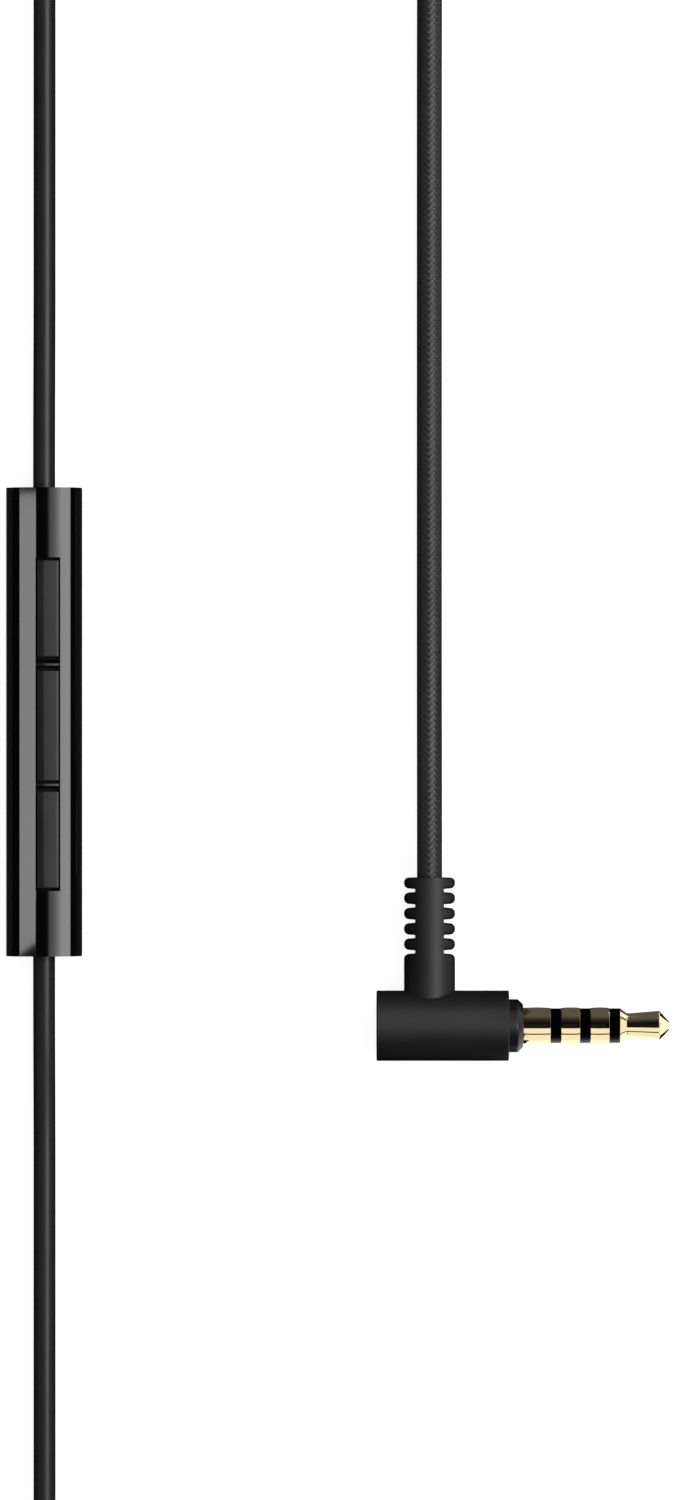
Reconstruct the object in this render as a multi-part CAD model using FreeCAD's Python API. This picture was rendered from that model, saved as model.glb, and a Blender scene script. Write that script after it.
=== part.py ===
import FreeCAD, Part
import math
import os

# Wired in-ear earphones with an in-line remote, lying on a surface at z = 0, in millimetres.
# +Y runs along the straight cords, +X runs along the pin of the plug, and +Z is up.
# The origin is on the surface, under the middle of the box round the remote, the splitter and
# the two earpieces.

# Cords and the gaps round them
MAIN_CORD_DIAMETER = 2.4
BRANCH_CORD_DIAMETER = 2.1
CORD_HOLE_GAP = 0.08
CORD_INSERTION = 1.5
SNUG_GAP = 0.03

# Remote: place and casing
REMOTE_X = -27.6
REMOTE_Y = -25.4
REMOTE_LENGTH = 44.6
REMOTE_WIDTH = 7.2
REMOTE_HEIGHT = 5.0
REMOTE_SPLIT_HEIGHT = 2.5
REMOTE_WALL = 0.7
REMOTE_END_WALL = 1.2
REMOTE_END_CHAMFER = 0.15
LEFT_SHOULDER_RADIUS = 1.5
RIGHT_SHOULDER_RADIUS = 1.7
BACK_CORNER_RADIUS = 0.9

# Remote: the front is a flat facet, a ridge line, a crown and a second flat facet
RIDGE_OFFSET = -0.8
LEFT_FACET_TILT = 13.0
CROWN_START_TILT = 1.0
RIGHT_FACET_TILT = 20.0
CROWN_REACH = 1.66

# Remote: buttons
POCKET_OFFSET = 0.37
BUTTON_WIDTH = 2.0
BUTTON_SIDE_GAP = 0.12
BUTTON_END_GAP = 0.3
CENTRE_BUTTON_LENGTH = 10.45
OUTER_BUTTON_LENGTH = 9.15
UPPER_BUTTON_SPACING = 1.33
LOWER_BUTTON_SPACING = 1.05
CENTRE_BUTTON_OFFSET = -0.35
BUTTON_RECESS = 0.04
BUTTON_EDGE_CHAMFER = 0.12
BUTTON_FLANGE_REACH = 0.35
BUTTON_FLANGE_THICKNESS = 0.35
BUTTON_FLANGE_GAP = 0.08
BUTTON_STEM_SIZE = 1.2
BUTTON_TRAVEL = 0.25
BUTTON_STOP_GAP = 0.05
POCKET_RIB_THICKNESS = 0.2
POCKET_RIB_RECESS = 0.3
UPPER_RIB_DISTANCE = 0.58
LOWER_RIB_DISTANCE = 0.41

# Remote: inside
BOARD_RIB_HEIGHT = 0.5
BOARD_RIB_WIDTH = 1.0
BOARD_RIB_SPACING = 12.0
BOARD_THICKNESS = 0.7
BOARD_SIDE_GAP = 0.3
BOARD_END_GAP = 0.3
SWITCH_LENGTH = 3.0
SWITCH_WIDTH = 2.6
SWITCH_BASE_HEIGHT = 0.45
SWITCH_PUSH_SIZE = 1.2
SWITCH_PUSH_HEIGHT = 0.25
MICROPHONE_LENGTH = 1.9
MICROPHONE_WIDTH = 2.8
MICROPHONE_HEIGHT = 1.0
MICROPHONE_PORT_RADIUS = 0.35
MICROPHONE_END_DISTANCE = 0.6
GRIP_LENGTH = 2.4
GRIP_WIDTH = 3.6
GRIP_HEIGHT = 2.9

# Plug: place, housing and collar
MAIN_CORD_X = 9.1
PLUG_Y = -54.3
HOUSING_RADIUS = 3.35
HOUSING_BACK_LENGTH = 5.05
HOUSING_FRONT_LENGTH = 7.55
HOUSING_EDGE_CHAMFER = 0.15
COLLAR_RADIUS = 2.53
COLLAR_LENGTH = 1.35
COLLAR_NOSE_CHAMFER = 0.55
COLLAR_SPIGOT_LENGTH = 0.8
CORE_RADIUS = 2.3
CORE_BACK_LENGTH = 3.6
CORE_BACK_WALL = 1.2

# Plug: ladder strain relief, a round-backed column with a plate cut into fins on both sides
RELIEF_TOP = 14.1
COLUMN_WIDTH = 2.5
COLUMN_HEIGHT = 4.2
FIN_REACH = 2.43
FIN_THICKNESS = 3.6
FIN_EDGE_RADIUS = 1.6
FIN_CORNER_RADIUS = 0.45
WEB_WIDTH = 2.64
SLOT_COUNT = 5
SLOT_PITCH = 1.46
SLOT_WIDTH = 0.44
SLOT_CORNER_RADIUS = 0.2
RELIEF_CORD_INSERTION = 0.9

# Plug: pin with four contacts, measured along the pin from the collar's face
PIN_RADIUS = 1.75
INSULATOR_RADIUS = 1.74
PIN_TUBE_RADIUS = 1.55
PIN_TUBE_STEP = 0.18
PIN_TUBE_GAP = 0.02
SLEEVE_LENGTH = 2.6
RING_LENGTH = 1.8
INSULATOR_LENGTH = 1.0
TAIL_START = 4.5
TAIL_STEP = 0.65
TIP_FLANGE_LENGTH = 0.45
TIP_FLANGE_END_RADIUS = 1.5
TIP_NECK_LENGTH = 0.4
TIP_NECK_RADIUS = 1.24
TIP_BODY_LENGTH = 2.9
TIP_BODY_START_RADIUS = 1.31
TIP_BODY_END_RADIUS = 1.47
TIP_POINT_LENGTH = 1.1
TIP_POINT_RADIUS = 0.5
TIP_BEND_RADIUS = 1.15
TIP_BEND_LENGTH = 0.55

# Splitter
SPLITTER_X = -9.8
SPLITTER_Y = 103.5
SPLITTER_LENGTH = 18.0
SPLITTER_NARROW_WIDTH = 5.2
SPLITTER_WIDE_WIDTH = 8.2
SPLITTER_NECK_LENGTH = 4.0
SPLITTER_TAPER_LENGTH = 8.0
SPLITTER_HEIGHT = 5.0
SPLITTER_CORNER_RADIUS = 1.0
SPLITTER_TAPER_RADIUS = 6.0
SPLITTER_EDGE_CHAMFER = 0.8
SPLITTER_WALL = 0.9
SPLITTER_END_WALL = 2.2
SPLITTER_BRANCH_SPACING = 3.4
CRIMP_LENGTH = 5.0
CRIMP_HEIGHT = 2.6
CRIMP_WIDTH = 3.2
CRIMP_WALL = 0.35
CRIMP_CHAMFER = 0.7

# Earpieces: local +X is the way the nozzle points, local +Y the way the stem points
LEFT_EAR_X = 23.8
LEFT_EAR_Y = -117.5
RIGHT_EAR_X = 27.2
RIGHT_EAR_Y = 63.5
EAR_RADIUS = 5.8
EAR_BACK_LENGTH = 4.0
EAR_SEAM = 2.6
EAR_WALL = 0.7
EAR_BACK_CHAMFER = 1.0
EAR_SHOULDER_START = 1.6
EAR_SHOULDER_LENGTH = 3.4
NOZZLE_RADIUS = 2.4
NOZZLE_BORE_RADIUS = 1.8
NOZZLE_LENGTH = 3.6
BARB_REACH = 0.35
BARB_LENGTH = 1.2
STEM_RADIUS = 2.3
STEM_LENGTH = 11.0
STEM_BORE_RADIUS = 1.2
EAR_RELIEF_RADIUS = 1.8
EAR_RELIEF_LENGTH = 7.0
EAR_RELIEF_GROOVE_COUNT = 3
EAR_RELIEF_GROOVE_PITCH = 1.6
EAR_RELIEF_GROOVE_WIDTH = 0.6
EAR_RELIEF_GROOVE_DEPTH = 0.4
EAR_RELIEF_SPIGOT_LENGTH = 1.5
MESH_THICKNESS = 0.2
MESH_RECESS = 0.3
DRIVER_MAGNET_RADIUS = 3.3
DRIVER_MAGNET_LENGTH = 2.0
DRIVER_FLANGE_THICKNESS = 1.0
DIAPHRAGM_THICKNESS = 0.25
DIAPHRAGM_RISE = 0.7
DIAPHRAGM_RIM_WIDTH = 0.6

# Ear tips
TIP_RADIUS = 6.0
TIP_SLEEVE_WALL = 0.75
TIP_SLEEVE_START = 0.4
TIP_LIP_LENGTH = 1.5
TIP_OPENING_RADIUS = 2.1
TIP_FRONT_RADIUS = 3.6
TIP_SKIRT_START = 0.9
TIP_SKIRT_WALL = 0.5
TIP_DOME_RADIUS = 5.3
TIP_DOME_LENGTH = 1.2
TIP_SHOULDER_LENGTH = 2.6

# Coils of the cord that is put away, each held by a tie
COIL_TIE_THICKNESS = 0.35
COIL_TIE_GAP = 0.05
COIL_TIE_WIDTH = 4.0
COIL_CHAMFER_SHARE = 0.3
MAIN_COIL_Y = 64.0
MAIN_COIL_OUTER_TURN = 15.9
MAIN_COIL_INNER_TURN = 10.5
MAIN_COIL_LAYERS = 4
MAIN_COIL_TIE_ANGLE = 180.0
BRANCH_COIL_Y = 117.25
BRANCH_COIL_OUTER_TURN = 13.25
BRANCH_COIL_INNER_TURN = 9.85
BRANCH_COIL_LAYERS = 2
BRANCH_COIL_TIE_ANGLE = 230.0

# Heights and places that follow from the sizes above
CORD_FLOOR = BRANCH_CORD_DIAMETER / 2
MAIN_CORD_FLOOR = MAIN_CORD_DIAMETER / 2
COIL_BOTTOM = COIL_TIE_THICKNESS + COIL_TIE_GAP
REMOTE_BOTTOM_END = REMOTE_Y - REMOTE_LENGTH / 2
REMOTE_TOP_END = REMOTE_Y + REMOTE_LENGTH / 2
RELIEF_END_Y = PLUG_Y + RELIEF_TOP
SPLITTER_TOP_END = SPLITTER_Y + SPLITTER_LENGTH
SPLITTER_AXIS_HEIGHT = SPLITTER_HEIGHT / 2
EAR_AXIS_HEIGHT = TIP_RADIUS
EAR_CORD_END = STEM_LENGTH + EAR_RELIEF_LENGTH
NOZZLE_START = EAR_SEAM + EAR_SHOULDER_START + EAR_SHOULDER_LENGTH
NOZZLE_END = NOZZLE_START + NOZZLE_LENGTH + BARB_LENGTH
MAIN_COIL_X = MAIN_CORD_X - MAIN_COIL_OUTER_TURN
BRANCH_COIL_X = RIGHT_EAR_X - BRANCH_COIL_OUTER_TURN

# Routes of the cords between the pieces and the coils, chosen by hand
LEFT_LOWER_ROUTE = [
    (REMOTE_X, REMOTE_BOTTOM_END + CORD_INSERTION, REMOTE_SPLIT_HEIGHT),
    (REMOTE_X, -53.8, 2.45),
    (REMOTE_X, -63.5, CORD_FLOOR),
    (REMOTE_X, -107.0, CORD_FLOOR),
    (-21.0, -117.6, CORD_FLOOR),
    (-6.0, LEFT_EAR_Y, 5.9),
    (LEFT_EAR_X - EAR_CORD_END + CORD_INSERTION, LEFT_EAR_Y, EAR_AXIS_HEIGHT),
]
LEFT_UPPER_ROUTE = [
    (REMOTE_X, REMOTE_TOP_END - CORD_INSERTION, REMOTE_SPLIT_HEIGHT),
    (REMOTE_X, 3.2, 2.45),
    (REMOTE_X, 12.8, CORD_FLOOR),
    (REMOTE_X, 60.0, CORD_FLOOR),
    (-28.2, 104.0, CORD_FLOOR),
    (-28.0, 128.1, CORD_FLOOR),
    (-19.75, 132.9, CORD_FLOOR),
    (SPLITTER_X - SPLITTER_BRANCH_SPACING / 2, 128.1, 2.45),
    (SPLITTER_X - SPLITTER_BRANCH_SPACING / 2, SPLITTER_TOP_END - CORD_INSERTION, SPLITTER_AXIS_HEIGHT),
]
MAIN_ROUTE = [
    (MAIN_CORD_X, RELIEF_END_Y - RELIEF_CORD_INSERTION, HOUSING_RADIUS),
    (MAIN_CORD_X, -33.0, 3.3),
    (MAIN_CORD_X, -20.0, MAIN_CORD_FLOOR),
    (MAIN_CORD_X, 60.0, COIL_BOTTOM + MAIN_CORD_FLOOR),
]
MAIN_TAIL_ROUTE = [
    (5.4, 74.2, 8.8),
    (-3.0, 84.2, 7.2),
    (SPLITTER_X, 95.2, 2.55),
    (SPLITTER_X, SPLITTER_Y + CORD_INSERTION, SPLITTER_AXIS_HEIGHT),
]
RIGHT_LEAD_ROUTE = [
    (SPLITTER_X + SPLITTER_BRANCH_SPACING / 2, SPLITTER_TOP_END - CORD_INSERTION, SPLITTER_AXIS_HEIGHT),
    (SPLITTER_X + SPLITTER_BRANCH_SPACING / 2, 125.8, 2.45),
    (-3.4, 130.5, 1.5),
    (10.5, 130.5, COIL_BOTTOM + CORD_FLOOR),
]
RIGHT_TAIL_ROUTE = [
    (RIGHT_EAR_X, 117.0, 3.5),
    (27.4, 106.0, 2.2),
    (27.0, 96.5, 2.2),
    (RIGHT_EAR_X, 88.2, 5.92),
    (RIGHT_EAR_X, RIGHT_EAR_Y + EAR_CORD_END - CORD_INSERTION, EAR_AXIS_HEIGHT),
]

# An arc of a cord takes up this share of its shorter run
ARC_SHARE = 0.45
# Cutting shapes run this far past what they cut
OVERRUN = 1.0
# Points closer than this are one point
SAME_POINT = 1e-6
# A chamfer of a square corner grows by this share of the wall put round it
CHAMFER_GROWTH = 2 - math.sqrt(2)
FULL_TURN = 360.0
RIGHT_ANGLE = 90.0
X_AXIS = FreeCAD.Vector(1, 0, 0)
Y_AXIS = FreeCAD.Vector(0, 1, 0)
Z_AXIS = FreeCAD.Vector(0, 0, 1)
ORIGIN = FreeCAD.Vector(0, 0, 0)


def box(x_span, y_span, z_span):
    """Return a box from three (low, high) spans."""
    low = FreeCAD.Vector(x_span[0], y_span[0], z_span[0])
    return Part.makeBox(x_span[1] - x_span[0], y_span[1] - y_span[0], z_span[1] - z_span[0], low)


def centred(middle, width):
    """Return the (low, high) span of a width about its middle."""
    return (middle - width / 2, middle + width / 2)


def rod(radius, start, direction, length):
    """Return a cylinder from a start point."""
    return Part.makeCylinder(radius, length, FreeCAD.Vector(*start), direction)


def corner_arc(before, corner, after, radius):
    """Return the start, middle and end of the arc that rounds a corner."""
    back = (before - corner).normalize()
    ahead = (after - corner).normalize()
    half = back.getAngle(ahead) / 2
    tangent = radius / math.tan(half)
    inward = (back + ahead).normalize()
    middle = corner + inward * (radius / math.sin(half) - radius)
    return corner + back * tangent, middle, corner + ahead * tangent


def rounded_face(corners, place):
    """Return a flat face from (u, v, radius) corners; place turns u and v into a point."""
    points = [place(corner[0], corner[1]) for corner in corners]
    stretches = []
    for index, corner in enumerate(corners):
        here = points[index]
        after = points[(index + 1) % len(points)]
        radius = sum(corner[2:])
        if radius:
            stretches.append(corner_arc(points[index - 1], here, after, radius))
        else:
            stretches.append((here, None, here))
    edges = []
    for index, (entry, middle, leave) in enumerate(stretches):
        if middle is not None:
            edges.append(Part.Arc(entry, middle, leave).toShape())
        following = stretches[(index + 1) % len(stretches)][0]
        if leave.distanceToPoint(following) > SAME_POINT:
            edges.append(Part.LineSegment(leave, following).toShape())
    return Part.Face(Part.Wire(edges))


def chamfered(across, up, chamfer):
    """Return the corners of a rectangle with chamfered corners, from two (low, high) spans."""
    left, right = across
    bottom, top = up
    return [
        (left + chamfer, bottom),
        (right - chamfer, bottom),
        (right, bottom + chamfer),
        (right, top - chamfer),
        (right - chamfer, top),
        (left + chamfer, top),
        (left, top - chamfer),
        (left, bottom + chamfer),
    ]


def turned(corners, start, direction, side):
    """Return a solid turned about an axis from (along, radius) corners."""
    base = FreeCAD.Vector(*start)
    face = rounded_face(corners, lambda along, radius: base + direction * along + side * radius)
    return face.revolve(base, direction, FULL_TURN)


def tube(route, diameter, name):
    """Return a round tube of straight runs joined by tangent arcs, and print its radii."""
    points = [FreeCAD.Vector(*point) for point in route]
    edges = []
    radii = []
    here = points[0]
    for before, corner, after in zip(points, points[1:], points[2:]):
        half_turn = (corner - before).getAngle(after - corner) / 2
        shorter = min((corner - before).Length, (after - corner).Length)
        radius = ARC_SHARE * shorter / math.tan(half_turn)
        radii.append(radius)
        entry, middle, leave = corner_arc(before, corner, after, radius)
        edges.append(Part.LineSegment(here, entry).toShape())
        edges.append(Part.Arc(entry, middle, leave).toShape())
        here = leave
    edges.append(Part.LineSegment(here, points[-1]).toShape())
    path = Part.Wire(edges)
    circle = Part.makeCircle(diameter / 2, points[0], points[1] - points[0])
    solid = path.makePipe(Part.Face(Part.Wire(circle)))
    expected = math.pi * diameter ** 2 / 4 * path.Length
    print(f"{name}: length {path.Length:.1f}, volume share {solid.Volume / expected:.4f},",
          "radii " + ", ".join(f"{radius:.1f}" for radius in radii))
    return solid


def remote_section():
    """Return the remote's outer section as a face at y = 0, about its own centre line."""
    half_width = REMOTE_WIDTH / 2
    left_tilt = math.radians(LEFT_FACET_TILT)
    start_tilt = math.radians(CROWN_START_TILT)
    right_tilt = math.radians(RIGHT_FACET_TILT)
    crown_u = RIDGE_OFFSET + CROWN_REACH * math.cos(start_tilt)
    crown_z = REMOTE_HEIGHT - CROWN_REACH * math.sin(start_tilt)
    left_z = REMOTE_HEIGHT - (RIDGE_OFFSET + half_width) * math.tan(left_tilt)
    right_z = crown_z - (half_width - crown_u) * math.tan(right_tilt)
    corners = [
        (-half_width, 0, BACK_CORNER_RADIUS),
        (half_width, 0, BACK_CORNER_RADIUS),
        (half_width, right_z, RIGHT_SHOULDER_RADIUS),
        (crown_u, crown_z, crown_radius()),
        (RIDGE_OFFSET, REMOTE_HEIGHT),
        (-half_width, left_z, LEFT_SHOULDER_RADIUS),
    ]
    return rounded_face(corners, lambda u, v: FreeCAD.Vector(REMOTE_X + u, 0, v))


def crown_radius():
    """Return the radius of the crown between the ridge line and the right facet."""
    return CROWN_REACH / math.tan(math.radians(RIGHT_FACET_TILT - CROWN_START_TILT) / 2)


def crown_underside(u):
    """Return the height of the casing's inner face under the crown."""
    start_tilt = math.radians(CROWN_START_TILT)
    centre_u = RIDGE_OFFSET - crown_radius() * math.sin(start_tilt)
    centre_z = REMOTE_HEIGHT - crown_radius() * math.cos(start_tilt)
    inner = crown_radius() - REMOTE_WALL
    return centre_z + math.sqrt(inner ** 2 - (u - centre_u) ** 2)


def remote_prism(inset, end_inset):
    """Return the remote's body, drawn in by an inset all round and at its ends."""
    face = remote_section()
    if inset:
        face = Part.Face(face.makeOffset2D(-inset).OuterWire)
    length = REMOTE_LENGTH - 2 * end_inset
    face.translate(FreeCAD.Vector(0, REMOTE_Y - length / 2, 0))
    return face.extrude(FreeCAD.Vector(0, length, 0))


def end_edges(solid, low, high):
    """Return the edges that lie wholly in one of two end planes across Y."""
    found = []
    for edge in solid.Edges:
        box_of_edge = edge.BoundBox
        for plane in (low, high):
            if abs(box_of_edge.YMin - plane) < SNUG_GAP and abs(box_of_edge.YMax - plane) < SNUG_GAP:
                found.append(edge)
    return found


def button_spans():
    """Return each button's (low, high) span along Y, from the far end to the near end."""
    centre = centred(REMOTE_Y + CENTRE_BUTTON_OFFSET, CENTRE_BUTTON_LENGTH)
    upper_low = centre[1] + UPPER_BUTTON_SPACING
    lower_high = centre[0] - LOWER_BUTTON_SPACING
    return {
        "volume_up": (upper_low, upper_low + OUTER_BUTTON_LENGTH),
        "centre": centre,
        "volume_down": (lower_high - OUTER_BUTTON_LENGTH, lower_high),
    }


def pocket_span():
    """Return the (low, high) span of the button pocket along Y."""
    spans = button_spans()
    return (spans["volume_down"][0] - BUTTON_END_GAP, spans["volume_up"][1] + BUTTON_END_GAP)


def board_bottom():
    """Return the height of the circuit board's lower face."""
    return REMOTE_WALL + BOARD_RIB_HEIGHT


def board_top():
    """Return the height of the circuit board's upper face."""
    return board_bottom() + BOARD_THICKNESS


def switch_top():
    """Return the height of the switches' pushes."""
    return board_top() + SWITCH_BASE_HEIGHT + SWITCH_PUSH_HEIGHT


def microphone_y():
    """Return the place of the microphone along Y, near the board's lower end."""
    return board_span()[0] + MICROPHONE_END_DISTANCE + MICROPHONE_LENGTH / 2


def board_span():
    """Return the (low, high) span of the circuit board along Y."""
    end = CORD_INSERTION + GRIP_LENGTH + BOARD_END_GAP
    return (REMOTE_BOTTOM_END + end, REMOTE_TOP_END - end)


def remote_casing():
    """Return the hollow casing of the remote, before it is split into two shells."""
    outer = remote_prism(0, 0)
    rim = end_edges(outer, REMOTE_BOTTOM_END, REMOTE_TOP_END)
    outer = outer.makeChamfer(REMOTE_END_CHAMFER, rim)
    casing = outer.cut(remote_prism(REMOTE_WALL, REMOTE_END_WALL))
    hole = rod(
        BRANCH_CORD_DIAMETER / 2 + CORD_HOLE_GAP,
        (REMOTE_X, REMOTE_BOTTOM_END - OVERRUN, REMOTE_SPLIT_HEIGHT),
        Y_AXIS,
        REMOTE_LENGTH + 2 * OVERRUN,
    )
    return casing.cut(hole)


def remote_half(low, high):
    """Return the part of the casing between two heights."""
    keep = box(
        centred(REMOTE_X, REMOTE_WIDTH + 2 * OVERRUN),
        centred(REMOTE_Y, REMOTE_LENGTH + 2 * OVERRUN),
        (low, high),
    )
    return remote_casing().common(keep)


def remote_front_shell():
    """Return the front shell, with the button pocket and the two ribs across it."""
    shell = remote_half(REMOTE_SPLIT_HEIGHT, REMOTE_HEIGHT + OVERRUN)
    pocket_x = centred(REMOTE_X + POCKET_OFFSET, BUTTON_WIDTH + 2 * BUTTON_SIDE_GAP)
    through = (REMOTE_SPLIT_HEIGHT, REMOTE_HEIGHT + OVERRUN)
    shell = shell.cut(box(pocket_x, pocket_span(), through))
    centre = button_spans()["centre"]
    ribs = remote_prism(POCKET_RIB_RECESS, REMOTE_END_WALL).cut(remote_prism(REMOTE_WALL, REMOTE_END_WALL))
    for rib_y in (centre[1] + UPPER_RIB_DISTANCE, centre[0] - LOWER_RIB_DISTANCE):
        slice_box = box(
            centred(REMOTE_X + POCKET_OFFSET, BUTTON_WIDTH + 2 * BUTTON_SIDE_GAP + 2 * SNUG_GAP),
            centred(rib_y, POCKET_RIB_THICKNESS),
            through,
        )
        shell = shell.fuse(ribs.common(slice_box))
    return shell.removeSplitter()


def remote_back_shell():
    """Return the back shell, with ribs under the board and the microphone's port."""
    shell = remote_half(-OVERRUN, REMOTE_SPLIT_HEIGHT)
    inner = remote_prism(REMOTE_WALL - SNUG_GAP, REMOTE_END_WALL)
    for step in (-1, 0, 1):
        rib = box(
            centred(REMOTE_X, REMOTE_WIDTH),
            centred(REMOTE_Y + step * BOARD_RIB_SPACING, BOARD_RIB_WIDTH),
            (REMOTE_WALL - SNUG_GAP, board_bottom()),
        )
        shell = shell.fuse(rib.common(inner))
    port = rod(MICROPHONE_PORT_RADIUS, (REMOTE_X, microphone_y(), -OVERRUN), Z_AXIS, board_bottom() + OVERRUN)
    return shell.cut(port).removeSplitter()


def remote_button(span):
    """Return one button: a cap that follows the crown, a flange that keeps it in, and a stem."""
    flange_edge = POCKET_OFFSET + BUTTON_WIDTH / 2 + BUTTON_FLANGE_REACH
    flange_top = crown_underside(flange_edge) - BUTTON_FLANGE_GAP
    flange_bottom = flange_top - BUTTON_FLANGE_THICKNESS
    middle_x = REMOTE_X + POCKET_OFFSET
    cap = remote_prism(BUTTON_RECESS, 0).common(
        box(centred(middle_x, BUTTON_WIDTH), span, (flange_bottom, REMOTE_HEIGHT + OVERRUN))
    )
    rim_height = flange_top + REMOTE_WALL / 2
    rim = [edge for edge in cap.Edges if edge.BoundBox.ZMin > rim_height]
    cap = cap.makeChamfer(BUTTON_EDGE_CHAMFER, rim)
    flange = box(
        centred(middle_x, BUTTON_WIDTH + 2 * BUTTON_FLANGE_REACH),
        (span[0] - BUTTON_END_GAP, span[1] + BUTTON_END_GAP),
        (flange_bottom, flange_top),
    )
    stem_bottom = switch_top() + BUTTON_TRAVEL + BUTTON_STOP_GAP
    middle_y = (span[0] + span[1]) / 2
    stem = box(
        centred(middle_x, BUTTON_STEM_SIZE),
        centred(middle_y, BUTTON_STEM_SIZE),
        (stem_bottom, flange_top),
    )
    return cap.fuse(flange).fuse(stem).removeSplitter()


def remote_switch(span):
    """Return one switch under a button: a flat base and a smaller push on top."""
    middle_x = REMOTE_X + POCKET_OFFSET
    middle_y = (span[0] + span[1]) / 2
    base_top = board_top() + SWITCH_BASE_HEIGHT
    base = box(centred(middle_x, SWITCH_WIDTH), centred(middle_y, SWITCH_LENGTH), (board_top(), base_top))
    push = box(
        centred(middle_x, SWITCH_PUSH_SIZE),
        centred(middle_y, SWITCH_PUSH_SIZE),
        (board_top(), switch_top()),
    )
    return base.fuse(push).removeSplitter()


def remote_circuit_board():
    """Return the circuit board, with a port under the microphone."""
    width = REMOTE_WIDTH - 2 * (REMOTE_WALL + BOARD_SIDE_GAP)
    board = box(centred(REMOTE_X, width), board_span(), (board_bottom(), board_top()))
    port = rod(
        MICROPHONE_PORT_RADIUS,
        (REMOTE_X, microphone_y(), board_bottom() - OVERRUN),
        Z_AXIS,
        BOARD_THICKNESS + 2 * OVERRUN,
    )
    return board.cut(port)


def remote_microphone():
    """Return the microphone, which listens through the board and the back shell."""
    return box(
        centred(REMOTE_X, MICROPHONE_WIDTH),
        centred(microphone_y(), MICROPHONE_LENGTH),
        (board_top(), board_top() + MICROPHONE_HEIGHT),
    )


def remote_cord_grip(end_y, inward):
    """Return the block that grips a cord just inside the remote's end."""
    near = end_y + inward * CORD_INSERTION
    far = near + inward * GRIP_LENGTH
    return box(
        centred(REMOTE_X, GRIP_WIDTH),
        (min(near, far), max(near, far)),
        (REMOTE_WALL, REMOTE_WALL + GRIP_HEIGHT),
    )


def ladder_outline():
    """Return the plan of the relief's side plates: fins above a plain block, joined by a web."""
    right = []
    fin_top = RELIEF_TOP
    half_web = WEB_WIDTH / 2
    for _ in range(SLOT_COUNT):
        slot_top = fin_top - SLOT_PITCH + SLOT_WIDTH
        slot_bottom = fin_top - SLOT_PITCH
        right += [
            (FIN_REACH, fin_top, FIN_CORNER_RADIUS),
            (FIN_REACH, slot_top, FIN_CORNER_RADIUS),
            (half_web, slot_top, SLOT_CORNER_RADIUS),
            (half_web, slot_bottom, SLOT_CORNER_RADIUS),
        ]
        fin_top = slot_bottom
    right += [(FIN_REACH, fin_top, FIN_CORNER_RADIUS), (FIN_REACH, 0)]
    left = [(-corner[0],) + tuple(corner[1:]) for corner in reversed(right)]
    return rounded_face(right + left, lambda u, v: FreeCAD.Vector(MAIN_CORD_X + u, PLUG_Y + v, 0))


def relief_bar(half_width, half_height, radius):
    """Return a bar along the strain relief, with a section rounded at its four corners."""
    corners = [
        (-half_width, -half_height, radius),
        (half_width, -half_height, radius),
        (half_width, half_height, radius),
        (-half_width, half_height, radius),
    ]
    face = rounded_face(corners, lambda u, v: FreeCAD.Vector(MAIN_CORD_X + u, PLUG_Y, HOUSING_RADIUS + v))
    return face.extrude(Y_AXIS * RELIEF_TOP)


def plug_housing():
    """Return the moulded plug housing with its ladder strain relief in one piece."""
    column = relief_bar(COLUMN_WIDTH / 2, COLUMN_HEIGHT / 2, COLUMN_WIDTH / 2)
    plate = relief_bar(FIN_REACH, FIN_THICKNESS / 2, FIN_EDGE_RADIUS)
    fins = plate.common(ladder_outline().extrude(Z_AXIS * 2 * HOUSING_RADIUS))
    relief = column.fuse(fins)
    length = HOUSING_BACK_LENGTH + HOUSING_FRONT_LENGTH
    barrel = turned(
        [
            (0, 0),
            (length, 0),
            (length, HOUSING_RADIUS - HOUSING_EDGE_CHAMFER),
            (length - HOUSING_EDGE_CHAMFER, HOUSING_RADIUS),
            (HOUSING_EDGE_CHAMFER, HOUSING_RADIUS),
            (0, HOUSING_RADIUS - HOUSING_EDGE_CHAMFER),
        ],
        (MAIN_CORD_X - HOUSING_BACK_LENGTH, PLUG_Y, HOUSING_RADIUS),
        X_AXIS,
        Y_AXIS,
    )
    bore = rod(
        CORE_RADIUS + SNUG_GAP,
        (MAIN_CORD_X - CORE_BACK_LENGTH, PLUG_Y, HOUSING_RADIUS),
        X_AXIS,
        CORE_BACK_LENGTH + HOUSING_FRONT_LENGTH + OVERRUN,
    )
    cord_hole = rod(
        MAIN_CORD_DIAMETER / 2 + CORD_HOLE_GAP,
        (MAIN_CORD_X, RELIEF_END_Y - RELIEF_CORD_INSERTION, HOUSING_RADIUS),
        Y_AXIS,
        RELIEF_CORD_INSERTION + OVERRUN,
    )
    return barrel.fuse(relief).removeSplitter().cut(bore).cut(cord_hole)


def pin_layers():
    """Return the pin's pieces from the outside in: name, tube radius, head start and head end."""
    names = ["sleeve_contact", "base_insulator", "inner_ring_contact", "middle_insulator",
             "outer_ring_contact", "tip_insulator", "tip_contact"]
    lengths = [SLEEVE_LENGTH, INSULATOR_LENGTH, RING_LENGTH, INSULATOR_LENGTH, RING_LENGTH, INSULATOR_LENGTH,
               TIP_FLANGE_LENGTH]
    layers = []
    start = 0
    for index, (name, length) in enumerate(zip(names, lengths)):
        head_radius = INSULATOR_RADIUS if "insulator" in name else PIN_RADIUS
        layers.append({
            "name": name,
            "tube": PIN_TUBE_RADIUS - index * PIN_TUBE_STEP,
            "head": head_radius,
            "tail": -TAIL_START - index * TAIL_STEP,
            "start": start,
            "end": start + length,
        })
        start += length
    return layers


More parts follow.
